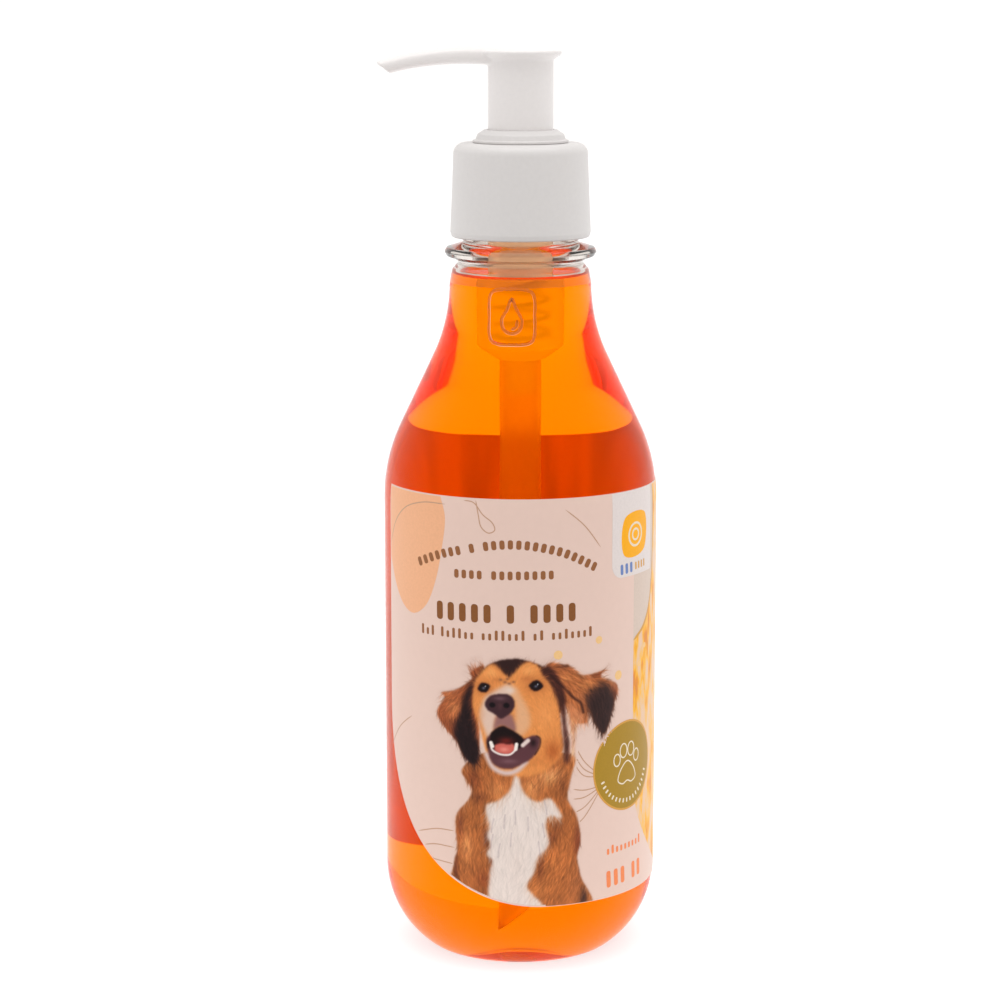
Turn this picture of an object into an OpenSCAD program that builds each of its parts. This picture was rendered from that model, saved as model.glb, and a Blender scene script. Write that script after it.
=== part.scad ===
// Pump bottle for pet shampoo: a clear blown bottle with a 28 mm screw neck,
// a wrap-round label, and a lotion pump that is pushed down against a spring.
// The bottle stands on z = 0 with its axis on Z, and the spout points along -X.

/* [Bottle] */
// Outer diameter of the straight side
body_d = 60; // [50:1:72]
// Height where the straight side ends and the shoulder begins
side_top = 101; // [80:1:130]
// Height of the rounded heel at the base
heel_h = 18; // [14:1:22]
// Radius of the rounded heel
heel_r = 22; // [20:0.5:24]
// Small radius where the heel turns under to the foot ring
foot_r = 2; // [1:0.1:3]
// Width of the flat foot ring
foot_w = 2; // [1:0.1:4]
// Height that the middle of the base is pushed up
push_up = 4; // [2:0.5:8]
// Wall thickness of the blown body
wall = 0.6; // [0.4:0.05:1]
// Radius of the two arcs of the shoulder
shoulder_r = 37; // [28:1:40]
// Steepest lean of the shoulder from upright
shoulder_a = 25.5; // [23:0.5:29]
// Outer diameter where the shoulder meets the neck
root_d = 30.94; // [29:0.02:34]
// Height of the shampoo above the top of the shoulder
fill_above_shoulder = 1.1; // [-12:0.1:1.5]

/* [Neck] */
// Bore of the neck
neck_bore = 21.7; // [21.5:0.1:22.1]
// Outer diameter of the neck under the thread
neck_d = 25.2; // [24.9:0.1:25.3]
// Height of the neck from the support ring's middle to its top
neck_h = 19.15; // [18.5:0.05:22]
// Diameter of the support ring
ring_d = 33.2; // [31:0.1:36]
// Half the thickness of the support ring at its root
ring_half = 2.0; // [1.4:0.1:2.2]
// Crest diameter of the screw thread
thread_d = 27.1; // [26.5:0.1:27.1]
// Pitch of the screw thread
thread_pitch = 4.2; // [3.8:0.1:4.6]
// Turns of thread on the neck
thread_turns = 1.5; // [1.25:0.25:1.5]

/* [Closure] */
// Outer diameter of the screw closure at its bottom edge
closure_d = 30.6; // [30.4:0.1:33]
// Outer diameter of the screw closure under its top edge
closure_top_d = 29.2; // [29.2:0.1:31]
// Gap between the support ring and the closure
closure_lift = 1.15; // [0.8:0.05:2]
// Thickness of the closure's top
closure_top = 1.6; // [1.2:0.1:2]
// Radius of the closure's top edge
closure_edge = 2.4; // [1:0.1:2.6]
// Thickness of the gasket
gasket_t = 1.0; // [0.6:0.1:1.6]

/* [Pump] */
// Outer diameter of the pump chamber
chamber_d = 14.2; // [13.8:0.1:15]
// Wall of the pump chamber
chamber_wall = 0.75; // [0.6:0.05:0.9]
// Depth of the chamber below the wide cup
chamber_h = 25.7; // [25:0.1:29]
// Outer diameter of the wide cup inside the neck
cup_d = 20.8; // [20.6:0.1:20.9]
// Wall of the wide cup
cup_wall = 1.1; // [0.9:0.05:1.2]
// Depth of the wide cup below the housing flange
cup_h = 16.3; // [15.8:0.1:17]
// Diameter of the housing flange
flange_d = 26.4; // [25.8:0.1:26.6]
// Thickness of the housing flange
flange_t = 1.6; // [1.2:0.1:2]
// Travel of the pump from rest to fully pressed
stroke = 11; // [8:0.5:11]
// Outer diameter of the hollow stem
stem_d = 7; // [6.6:0.1:7]
// Bore of the hollow stem
stem_bore = 4; // [3:0.1:4.2]
// Diameter of the check ball
ball_d = 4.8; // [4.4:0.1:5]
// Free lift of the check ball
ball_lift = 1.5; // [1:0.1:1.6]
// Free slide of the piston on the stem
piston_float = 0.9; // [0.5:0.1:0.9]
// Outer diameter of the dip tube
tube_d = 6.8; // [6.6:0.1:7]
// Bore of the dip tube
tube_bore = 5.2; // [5:0.1:5.4]
// Clearance between the cut end of the dip tube and the bottle's floor
tube_clear = 2; // [1:0.5:6]
// Wire diameter of the return spring
wire_d = 0.9; // [0.7:0.05:0.9]
// Mean diameter of the return spring
spring_d = 9.2; // [9:0.1:9.6]
// Turns of the return spring
spring_turns = 5.5; // [4.5:0.5:5.5]

/* [Actuator] */
// Outer diameter of the actuator's skirt
skirt_d = 14.1; // [13.6:0.1:14.4]
// Wall of the skirt
skirt_wall = 1.05; // [0.8:0.05:1.2]
// Height of the skirt that shows above the pump collar
skirt_show = 15.0; // [13:0.1:20]
// Diameter of the thumb pad
pad_d = 17.8; // [16:0.1:22]
// Reach of the spout from the axis to its tip
spout_reach = 31.1; // [26:0.1:44]
// Radius of the spout's bend
spout_bend = 68; // [60:1:100]
// Height of the spout at its root
spout_h = 4.0; // [3.4:0.1:4.4]
// Width of the spout at its root
spout_w = 8.0; // [6:0.1:10]
// Size of the spout's tip as a share of its root
spout_taper = 0.78; // [0.7:0.01:1]
// Diameter of the channel through the spout
channel_d = 2.0; // [1.6:0.1:2.2]

/* [Label] */
// Height of the label's bottom edge
label_z = 15.7; // [14:0.1:30]
// Distance of the label's top edge above the straight side
label_over = 4.2; // [0:0.1:6]
// Angle of the label's straight left edge from the front
label_left = 70; // [50:1:75]
// Angle that the label covers round the bottle
label_sweep = 338; // [300:1:345]
// Radius of the label's rounded lower corner
label_corner = 42; // [30:1:42]
// Thickness of the label film
label_t = 0.12; // [0.08:0.01:0.2]

/* [Fits] */
// Radial clearance of parts that slide in each other
slide_gap = 0.05; // [0.02:0.01:0.08]
// Radial clearance of parts that are pressed together
press_gap = 0.03; // [0.02:0.01:0.05]
// Clearance between flat faces that turn on each other
turn_gap = 0.1; // [0.05:0.05:0.2]
// Clearance of the actuator's skirt in the pump collar
skirt_gap = 0.2; // [0.15:0.05:0.3]
// Clearance between the flanks of the screw threads
thread_gap = 0.2; // [0.1:0.05:0.3]
// Clearance between the shampoo and what it touches
liquid_gap = 0.05; // [0.02:0.01:0.1]
// Clearance between the shampoo and the pump that is drawn out of it
pump_gap = 0.3; // [0.2:0.05:0.5]
// Gap between the label and the bottle
label_gap = 0.03; // [0.02:0.01:0.05]

/* [Hidden] */
$fn = 96;

clear_pet = [0.93, 0.93, 0.95, 0.35];
orange_shampoo = [1.0, 0.52, 0.03, 0.8];
label_pink = [0.87, 0.77, 0.72];
pump_white = [0.91, 0.90, 0.89];
natural_pp = [0.95, 0.93, 0.88, 0.6];

// Bottle: heel and foot arcs, then the shoulder's two equal arcs with a straight cone between.
body_r = body_d / 2;
root_r = root_d / 2;
heel_turn = asin((heel_h - foot_r) / (heel_r - foot_r));
foot_x = body_r - heel_r + (heel_r - foot_r) * cos(heel_turn);
dome_edge = foot_x - foot_w;
dome_r = (dome_edge * dome_edge + push_up * push_up) / (2 * push_up);
cone_l = (body_r - root_r - 2 * shoulder_r * (1 - cos(shoulder_a))) / sin(shoulder_a);
arc_h = shoulder_r * sin(shoulder_a);
root_z = side_top + 2 * arc_h + cone_l * cos(shoulder_a);
fill_z = root_z + fill_above_shoulder;

// Neck, counted up from the shoulder.
ring_rise = 6.65;
ring_z = root_z + ring_rise;
ring_rim = 0.55;
groove_r = root_r - 2.1;
neck_r = neck_d / 2;
bore_r = neck_bore / 2;
bore_bottom = ring_z - 1.5;
neck_top = ring_z + neck_h;
lip = 0.4;

// Screw thread: the closure's ridge runs under the neck's ridge, clear by thread_gap.
thread_sunk = 0.3;
thread_steps = 24;
male_root_w = 2.2;
male_crest_w = 0.9;
female_root_w = 1.8;
female_crest_w = 0.8;
thread_run_in = 30;
male_z = neck_top - 1.9 - thread_pitch * thread_turns;
female_z = male_z - (male_root_w + male_crest_w + female_root_w + female_crest_w) / 4 - thread_gap;
closure_bore_r = thread_d / 2 + 0.2;
female_r = neck_r + 0.35;

// Pump, stacked down from the neck's top.
flange_z = neck_top + gasket_t;
flange_top = flange_z + flange_t;
cup_r = cup_d / 2;
cup_in = cup_r - cup_wall;
cup_bottom = flange_z - cup_h;
cup_floor = cup_bottom + 0.9;
chamber_r = chamber_d / 2;
chamber_in = chamber_r - chamber_wall;
chamber_bottom = cup_bottom - chamber_h;
chamber_floor = chamber_bottom + 1.2;
cone_h = 3;
nipple_top = chamber_bottom - cone_h;
nipple_h = 8;
nipple_r = tube_bore / 2 - press_gap;
throat_r = 1.7;
ball_r = ball_d / 2;
pocket_r = ball_r + 0.35;
seat_gap = 0.04;
throat_top = nipple_top + 0.65;
ball_z = throat_top + seat_gap + sqrt(ball_r * ball_r - throat_r * throat_r);

// Ball cage: a slotted cap whose roof stops the ball at the top of its lift.
cage_floor_t = 0.8;
cage_r = pocket_r + 0.65;
cage_roof_z = ball_z + ball_lift + ball_r + seat_gap;
cage_roof_t = 0.7;
cage_hole_r = 1.2;
cage_slot_w = 1.8;

// Stem, tip, piston and spring.
guide_r = stem_d / 2 + slide_gap;
skirt_r = skirt_d / 2;
skirt_in = skirt_r - skirt_wall;
// The two sleeves round the stem, on the chaplet's floor and in the actuator, end midway to the skirt.
boss_r = guide_r + 0.55 * (skirt_in - guide_r);
guide_floor = 1.5;
guide_boss_h = 2.9;
spring_seat = chamber_floor + cage_floor_t;
tip_t = 1.5;
piston_h = 4.6;
piston_seat = cup_floor - piston_h - piston_float - 0.7;
tip_z = piston_seat - tip_t;
tip_r = 5.2;
pin_r = 2.9;
pin_h = 1.6;
port_r = 0.45;
port_z = piston_seat + port_r + 0.1;
spring_end_gap = 0.05;

// Actuator, counted up from the chaplet's top.
closure_bottom = ring_z + ring_half + closure_lift;
closure_face = flange_top + turn_gap + closure_top;
hole_r = 9.7;
collar_r = 10.4;
collar_z = closure_face + 0.3;
collar_h = 2.5;
collar_top = collar_z + collar_h;
collar_bore = skirt_d / 2 + skirt_gap;
guide_top_h = 5;
sleeve_r = cup_in - 0.08;
press_floor = cup_floor + guide_floor;
skirt_bottom = press_floor + stroke + 0.4;
skirt_top = collar_top + skirt_show;
pad_r = pad_d / 2;
pad_flare = 0.7;
pad_t = 1.3;
pad_top = skirt_top + pad_flare + pad_t;
dish = 0.35;
hub_bottom = press_floor + guide_boss_h + stroke + 0.4;
stem_top = hub_bottom + 13;
spout_x = -11;
spout_z = pad_top + 1.0 - spout_h / 2;
bend_z = spout_z - spout_bend;
tip_half = spout_h * spout_taper / 2;
tip_slant = 0.6;
spout_turn = asin((spout_reach + spout_x - tip_slant * tip_half) / (spout_bend + tip_half));
root_x = 4;
spout_rings = 14;
spout_sides = 24;

// Label.
label_top = side_top + label_over;
label_out = label_gap + label_t;

// ---------- outlines ----------

// Points of an arc about [x, z], from angle a to angle b, a step of about 4 degrees.
function arc(x, z, r, a, b) =
    let (n = max(2, ceil(abs(b - a) / 4)))
    [for (i = [0:n]) [x + r * cos(a + (b - a) * i / n), z + r * sin(a + (b - a) * i / n)]];

// Underside of the base and the outside of the heel, side and shoulder, moved in by `inset`.
function body_outline(inset) =
    let (
        dome = dome_r + inset,
        edge = sqrt(dome * dome - pow(dome_r - push_up + inset, 2))
    )
    concat(
        arc(0, push_up - dome_r, dome, 90, acos(edge / dome)),
        arc(foot_x, foot_r, foot_r - inset, -90, -heel_turn),
        arc(body_r - heel_r, heel_h, heel_r - inset, -heel_turn, 0),
        arc(body_r - shoulder_r, side_top, shoulder_r - inset, 0, shoulder_a),
        arc(root_r + shoulder_r, root_z, shoulder_r + inset, 180 + shoulder_a, 180)
    );

// Radius of the bottle's outside between the heel and the lower shoulder.
function side_r(z) =
    z < heel_h ? body_r - heel_r + sqrt(heel_r * heel_r - pow(heel_h - z, 2))
    : z < side_top ? body_r
    : body_r - shoulder_r + sqrt(shoulder_r * shoulder_r - pow(z - side_top, 2));

// Radius of the bottle's inside at height z between the shoulder and the neck's bore.
function throat_at(z) =
    root_r - wall + (bore_r - root_r + wall) * (z - root_z) / (bore_bottom - root_z);

// ---------- shared shapes ----------

// A ridge of trapezoid section wound on a helix about Z, tapering to nothing at both ends.
module ridge(root, crest, z, turns, root_w, crest_w) {
    n = round(turns * thread_steps);
    step = 360 / thread_steps;
    function fade(a) = min(1, (0.02 + a / thread_run_in), (0.02 + (turns * 360 - a) / thread_run_in));
    points = [
        for (i = [0:n])
            let (a = i * step, k = fade(a), c = root + (crest - root) * k, h = z + thread_pitch * a / 360)
            for (p = [[root, -root_w / 2], [c, -crest_w / 2], [c, crest_w / 2], [root, root_w / 2]])
                [p[0] * cos(a), p[0] * sin(a), h + p[1] * (0.4 + 0.6 * k)]
    ];
    sides = [
        for (i = [0:n - 1], j = [0:3])
            let (a = 4 * i + j, b = 4 * i + (j + 1) % 4, c = b + 4, d = a + 4)
            each [[a, b, c], [a, c, d]]
    ];
    ends = [[3, 2, 1, 0], [4 * n, 4 * n + 1, 4 * n + 2, 4 * n + 3]];
    faces = concat(sides, ends);
    // A ridge that points inwards is turned inside out, so its faces are listed the other way.
    turned = [for (f = faces) [for (i = [len(f) - 1:-1:0]) f[i]]];
    polyhedron(points = points, faces = crest < root ? turned : faces);
}

// ---------- bottle body ----------

module bottle() color(clear_pet) {
    outside = concat(body_outline(0), [
        [root_r - 0.55, root_z + 2.8],
        [groove_r, ring_z - ring_half],
        [ring_d / 2 - 0.7, ring_z - ring_rim - 0.5],
        [ring_d / 2, ring_z - ring_rim],
        [ring_d / 2, ring_z + ring_rim],
        [ring_d / 2 - 0.7, ring_z + ring_rim + 0.5],
        [neck_r, ring_z + ring_half],
        [neck_r, neck_top - lip],
        [neck_r - lip, neck_top]
    ]);
    inside = body_outline(wall);
    bore = [[bore_r, neck_top], [bore_r, bore_bottom]];
    rotate_extrude() polygon(concat(outside, bore, [for (i = [len(inside) - 1:-1:0]) inside[i]]));
    ridge(neck_r - thread_sunk, thread_d / 2, male_z, thread_turns, male_root_w, male_crest_w);
}

module shampoo() color(orange_shampoo) difference() {
    rotate_extrude() polygon(concat(
        body_outline(wall + liquid_gap),
        [[throat_at(fill_z) - liquid_gap, fill_z], [0, fill_z]]
    ));
    // The pump's own room, straight up from every level, so that it can be drawn out.
    translate([0, 0, chamber_bottom - pump_gap]) cylinder(r = chamber_r + pump_gap, h = 60);
    translate([0, 0, nipple_top - pump_gap])
        cylinder(r1 = chamber_r - cone_h + pump_gap, r2 = chamber_r + pump_gap, h = cone_h);
    translate([0, 0, push_up + wall + tube_clear - pump_gap])
        cylinder(r = tube_d / 2 + pump_gap, h = 160);
}

module label() color(label_pink) {
    heights = concat(
        [for (i = [0:2]) label_z + (heel_h - label_z) * i / 3],
        [heel_h],
        [for (i = [0:4]) side_top + label_over * i / 4]
    );
    film = concat(
        [for (z = heights) [side_r(z) + label_out, z]],
        [for (i = [len(heights) - 1:-1:0]) [side_r(heights[i]) + label_gap, heights[i]]]
    );
    // The rounded lower corner, unrolled along the side: centre [corner_s, corner_z].
    corner_z = label_z + label_corner - 0.2;
    corner_s = label_corner - body_r * label_left * PI / 180;
    corner = [
        for (i = [0:24])
            let (a = 180 + 90 * i / 24, s = corner_s + label_corner * cos(a))
            [body_r * sin(s / body_r * 180 / PI), corner_z + label_corner * sin(a)]
    ];
    difference() {
        rotate([0, 0, -90 - label_left]) rotate_extrude(angle = label_sweep) polygon(film);
        rotate([90, 0, 0]) linear_extrude(body_r + 5)
            polygon(concat(corner, [[corner[24][0], 0], [-body_r - 5, 0], [-body_r - 5, corner_z]]));
    }
}

// ---------- closure ----------

module closure() color(pump_white) {
    mid_z = closure_bottom + (closure_face - closure_bottom) * 0.38;
    bottom_edge = 0.8;
    outside = concat(
        [[closure_d / 2 - bottom_edge, closure_bottom], [closure_d / 2 - 0.2, closure_bottom + 0.3],
         [closure_d / 2, closure_bottom + bottom_edge], [closure_d / 2 - 0.3, mid_z]],
        arc(closure_top_d / 2 - closure_edge, closure_face - closure_edge, closure_edge, 0, 90)
    );
    inside = [
        [hole_r, closure_face],
        [hole_r, closure_face - closure_top],
        [closure_bore_r, closure_face - closure_top],
        [closure_bore_r, closure_bottom]
    ];
    rotate_extrude() polygon(concat(outside, inside));
    // One turn of thread, pointing inwards from the wall.
    ridge(closure_bore_r + thread_sunk, female_r, female_z, 1, female_root_w, female_crest_w);
}

// ---------- pump body ----------

module gasket() color(label_pink) difference() {
    translate([0, 0, neck_top]) cylinder(r = neck_r - 0.1, h = gasket_t);
    translate([0, 0, neck_top - 1]) cylinder(r = cup_r + slide_gap, h = gasket_t + 2);
}

module housing() color(natural_pp) difference() {
    rotate_extrude() polygon([
        [flange_d / 2, flange_z],
        [flange_d / 2, flange_top],
        [cup_in, flange_top],
        [cup_in, cup_floor],
        [chamber_in, cup_floor],
        [chamber_in, chamber_floor],
        [pocket_r, chamber_floor],
        [pocket_r, throat_top],
        [throat_r, throat_top],
        [throat_r, nipple_top - nipple_h],
        [nipple_r - 0.4, nipple_top - nipple_h],
        [nipple_r, nipple_top - nipple_h + 1],
        [nipple_r, nipple_top],
        [chamber_r - cone_h, nipple_top],
        [chamber_r, chamber_bottom],
        [chamber_r, cup_bottom],
        [cup_r - 0.8, cup_bottom],
        [cup_r, cup_bottom + 0.8],
        [cup_r, flange_z]
    ]);
    // Air comes back into the bottle through one small hole in the cup.
    translate([0, 0, flange_z - 4]) rotate([0, 90, 0]) cylinder(r = 0.5, h = cup_r + 5);
}

module chaplet() color(pump_white) difference() {
    rotate_extrude() polygon(concat(
        [[guide_r, cup_floor], [sleeve_r - 0.5, cup_floor], [sleeve_r, cup_floor + 0.8], [sleeve_r, collar_z],
         [collar_r, collar_z], [collar_r - 0.1, collar_z + 0.35]],
        [[collar_r - 1.2, collar_z + 0.95], [collar_r - 2.1, collar_z + 1.75]],
        [[collar_bore + 0.4, collar_top - 0.25], [collar_bore, collar_top]],
        [[collar_bore, collar_top - guide_top_h], [collar_bore + 0.7, collar_top - guide_top_h],
         [collar_bore + 0.7, press_floor], [boss_r, press_floor]],
        [[boss_r, press_floor + guide_boss_h], [guide_r, press_floor + guide_boss_h]]
    ));
    // The same air hole, where it passes the sleeve.
    translate([0, 0, flange_z - 4]) rotate([0, 90, 0]) cylinder(r = 0.5, h = cup_r + 5);
}

module ball_cage() color(natural_pp) difference() {
    rotate_extrude() polygon([
        [chamber_in - slide_gap, chamber_floor],
        [chamber_in - slide_gap, spring_seat],
        [cage_r, spring_seat],
        [cage_r, cage_roof_z + cage_roof_t],
        [cage_hole_r, cage_roof_z + cage_roof_t],
        [cage_hole_r, cage_roof_z],
        [pocket_r, cage_roof_z],
        [pocket_r, chamber_floor]
    ]);
    for (a = [0, 90])
        rotate([0, 0, a]) translate([-cage_r - 1, -cage_slot_w / 2, spring_seat])
            cube([2 * cage_r + 2, cage_slot_w, cage_roof_z - spring_seat]);
}

module check_ball() color("silver") translate([0, 0, ball_z]) sphere(r = ball_r);

module dip_tube() color(natural_pp) difference() {
    tube_bottom = push_up + wall + tube_clear;
    translate([0, 0, tube_bottom]) cylinder(r = tube_d / 2, h = nipple_top - tube_bottom);
    translate([0, 0, tube_bottom - 1]) cylinder(r = tube_bore / 2, h = nipple_top - tube_bottom + 2);
    // The lower end is cut at a slant so that it can't seal against the floor.
    translate([-tube_d / 2, 0, tube_bottom]) rotate([0, -35, 0])
        translate([-2, -tube_d, -10]) cube([4 * tube_d, 2 * tube_d, 10]);
}

// ---------- plunger ----------

module stem() color(pump_white) difference() {
    translate([0, 0, piston_seat]) cylinder(r = stem_d / 2, h = stem_top - piston_seat);
    translate([0, 0, piston_seat - 1]) cylinder(r = stem_bore / 2, h = stem_top - piston_seat + 2);
    for (a = [0, 90])
        rotate([0, 0, a]) translate([-stem_d, 0, port_z]) rotate([0, 90, 0])
            cylinder(r = port_r, h = 2 * stem_d);
}

module stem_tip() color(pump_white) {
    plug_r = stem_bore / 2 - press_gap;
    rotate_extrude() polygon([
        [0, tip_z - pin_h], [pin_r - 0.5, tip_z - pin_h], [pin_r, tip_z - pin_h + 0.5], [pin_r, tip_z],
        [tip_r, tip_z], [tip_r, piston_seat], [plug_r, piston_seat], [0, piston_seat]
    ]);
    // A cross-shaped plug holds in the stem's bore and leaves the ports open between its arms.
    intersection() {
        translate([0, 0, piston_seat - 0.2]) cylinder(r = plug_r, h = 5.2);
        union() for (a = [45, 135])
            rotate([0, 0, a]) translate([-plug_r - 1, -0.4, piston_seat - 0.2])
                cube([2 * plug_r + 2, 0.8, 5.2]);
    }
}

module piston() color(natural_pp) {
    lip_r = chamber_in - slide_gap;
    lip_z = piston_seat + 0.4;
    lip_h = 3.8;
    rotate_extrude() polygon([
        [guide_r, piston_seat], [guide_r + 1.1, piston_seat], [guide_r + 1.1, lip_z + 1.3], [lip_r - 0.9, lip_z + 1.3],
        [lip_r - 0.5, lip_z], [lip_r, lip_z], [lip_r - 0.35, lip_z + 1], [lip_r - 0.35, lip_z + lip_h - 1],
        [lip_r, lip_z + lip_h], [lip_r - 0.5, lip_z + lip_h], [lip_r - 0.9, lip_z + 2.4],
        [guide_r + 1.1, lip_z + 2.4], [guide_r + 1.1, piston_seat + piston_h], [guide_r, piston_seat + piston_h]
    ]);
}

module spring() {
    sides = 8;
    per_turn = 20;
    n = spring_turns * per_turn;
    wire_r = wire_d / 2;
    low = spring_seat + spring_end_gap + wire_r;
    high = tip_z - spring_end_gap - wire_r;
    // The first and last three quarters of a turn lie flat.
    function rise(t) = min(1, max(0, (t - 0.75) / (spring_turns - 1.5)));
    points = [
        for (i = [0:n], j = [0:sides - 1])
            let (t = i / per_turn, a = 360 * t, b = 360 * j / sides, r = spring_d / 2 + wire_r * cos(b))
            [r * cos(a), r * sin(a), low + (high - low) * rise(t) + wire_r * sin(b)]
    ];
    walls = [
        for (i = [0:n - 1], j = [0:sides - 1])
            let (a = sides * i + j, b = sides * i + (j + 1) % sides, c = b + sides, d = a + sides)
            each [[a, c, b], [a, d, c]]
    ];
    ends = [[for (j = [0:sides - 1]) j], [for (j = [sides - 1:-1:0]) sides * n + j]];
    color("silver") polyhedron(points = points, faces = concat(walls, ends));
}

// ---------- actuator ----------

// The spout's outside: rounded oblong rings along its bend, smaller towards the tip.
module spout() {
    function ring_point(a, w, h) =
        [w / 2 * sign(cos(a)) * pow(abs(cos(a)), 0.7), h / 2 * sign(sin(a)) * pow(abs(sin(a)), 0.7)];
    start = asin((root_x - abs(spout_x)) / spout_bend);
    nose = 0.6;
    points = [
        for (i = [0:spout_rings], j = [0:spout_sides - 1])
            let (
                k = i / spout_rings,
                t = start + (spout_turn - start) * k,
                size = (1 - (1 - spout_taper) * k) * (i == 0 ? nose : 1),
                p = ring_point(360 * j / spout_sides, spout_w * size, spout_h * size),
                cut = i == spout_rings ? p[1] * tip_slant : 0
            )
            [spout_x - (spout_bend + p[1]) * sin(t) - cut, p[0], bend_z + (spout_bend + p[1]) * cos(t)]
    ];
    walls = [
        for (i = [0:spout_rings - 1], j = [0:spout_sides - 1])
            let (a = spout_sides * i + j, b = spout_sides * i + (j + 1) % spout_sides)
            each [[a, b, b + spout_sides], [a, b + spout_sides, a + spout_sides]]
    ];
    ends = [
        [for (j = [spout_sides - 1:-1:0]) j],
        [for (j = [0:spout_sides - 1]) spout_sides * spout_rings + j]
    ];
    polyhedron(points = points, faces = concat(walls, ends));
}

module actuator() color(pump_white) difference() {
    union() {
        rotate_extrude() polygon([
            [skirt_r, skirt_bottom], [skirt_r, skirt_top], [pad_r - 0.6, skirt_top + pad_flare],
            [pad_r, skirt_top + pad_flare + 0.35], [pad_r - 0.15, pad_top - 0.2], [pad_r - 0.7, pad_top],
            [pad_r / 2, pad_top - dish * 0.8], [0, pad_top - dish], [0, hub_bottom], [boss_r, hub_bottom],
            [boss_r, skirt_top - 2], [skirt_in, skirt_top - 2], [skirt_in, skirt_bottom]
        ]);
        spout();
    }
    translate([0, 0, hub_bottom - 1]) cylinder(r = stem_d / 2 + slide_gap, h = stem_top - hub_bottom + 1);
    translate([0, 0, stem_top - 1]) cylinder(r = stem_bore / 2, h = spout_z - stem_top + 0.4);
    // The channel follows the spout's bend out to its tip.
    translate([spout_x, 0, bend_z]) rotate([90, 0, 0])
        rotate([0, 0, 90 - asin(abs(spout_x) / spout_bend)])
            rotate_extrude(angle = spout_turn + 8 + asin(abs(spout_x) / spout_bend))
                translate([spout_bend, 0]) circle(r = channel_d / 2);
}

bottle();
shampoo();
label();
closure();
gasket();
housing();
chaplet();
ball_cage();
check_ball();
spring();
stem();
stem_tip();
piston();
actuator();
dip_tube();
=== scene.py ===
import math

import bmesh
import bpy
import numpy as np
from mathutils import Matrix, Vector


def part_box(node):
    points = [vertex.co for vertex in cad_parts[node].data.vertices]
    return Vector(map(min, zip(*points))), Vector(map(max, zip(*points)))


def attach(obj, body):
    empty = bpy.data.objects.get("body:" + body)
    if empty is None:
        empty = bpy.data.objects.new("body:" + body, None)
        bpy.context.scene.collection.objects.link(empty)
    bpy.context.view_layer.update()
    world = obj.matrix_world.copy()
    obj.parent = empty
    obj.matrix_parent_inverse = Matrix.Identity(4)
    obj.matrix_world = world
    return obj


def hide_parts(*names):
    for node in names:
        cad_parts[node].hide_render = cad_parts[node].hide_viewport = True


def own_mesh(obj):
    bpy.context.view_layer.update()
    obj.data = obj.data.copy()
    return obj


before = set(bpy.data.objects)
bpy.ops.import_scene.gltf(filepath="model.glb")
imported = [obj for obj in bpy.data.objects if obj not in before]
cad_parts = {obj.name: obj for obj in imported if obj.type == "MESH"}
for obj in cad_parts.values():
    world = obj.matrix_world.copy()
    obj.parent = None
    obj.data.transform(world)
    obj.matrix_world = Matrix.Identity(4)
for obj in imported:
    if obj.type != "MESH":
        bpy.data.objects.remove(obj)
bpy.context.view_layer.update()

# ---------- the set ----------
# A white studio floor, light that comes softly from all round with a darker room behind the
# camera, and a large soft box overhead. The camera looks a little down on the bottle.

MM = 0.001


def shares_of(code):
    """The red, green and blue of an sRGB hex code, each from 0 to 1."""
    return np.array([int(code[i:i + 2], 16) for i in (1, 3, 5)]) / 255


def linear(shares):
    """The linear values of sRGB shares from 0 to 1."""
    return np.where(shares <= 0.04045, shares / 12.92, ((shares + 0.055) / 1.055) ** 2.4)


def srgb(code):
    """The linear colour of an sRGB hex code, for a node."""
    return (*linear(shares_of(code)).tolist(), 1)


def material(name):
    """A new material with no nodes in it."""
    made = bpy.data.materials.new(name)
    made.use_nodes = True
    made.node_tree.nodes.clear()
    return made


def add(owner, kind, inputs=(), **settings):
    """Adds one node to a material or world, with its settings, and values or links on its inputs."""
    made = owner.node_tree.nodes.new(kind)
    for name, value in settings.items():
        setattr(made, name, value)
    for name, value in dict(inputs).items():
        if isinstance(value, bpy.types.NodeSocket):
            owner.node_tree.links.new(value, made.inputs[name])
        else:
            made.inputs[name].default_value = value
    return made


scene = bpy.context.scene
scene.view_settings.view_transform = "Standard"
scene.cycles.max_bounces = 24
scene.cycles.transmission_bounces = 20
scene.cycles.diffuse_bounces = 5

world = bpy.data.worlds.new("studio")
world.use_nodes = True
world.node_tree.nodes.clear()
direction = add(world, "ShaderNodeTexCoord")
axes = add(world, "ShaderNodeSeparateXYZ", {"Vector": direction.outputs["Generated"]})
brightness = add(world, "ShaderNodeMapRange", {
    "Value": axes.outputs["Y"], "From Min": 0.35, "From Max": 0.8, "To Min": 0.89, "To Max": 1.06,
}, interpolation_type="SMOOTHSTEP")
sky = add(world, "ShaderNodeBackground", {
    "Color": srgb("#FFFDFB"), "Strength": brightness.outputs["Result"],
})
add(world, "ShaderNodeOutputWorld", {"Surface": sky.outputs["Background"]})
scene.world = world

floor_shape = bmesh.new()
bmesh.ops.create_grid(floor_shape, x_segments=1, y_segments=1, size=3)
floor_mesh = bpy.data.meshes.new("floor")
floor_shape.to_mesh(floor_mesh)
floor_shape.free()
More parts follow.
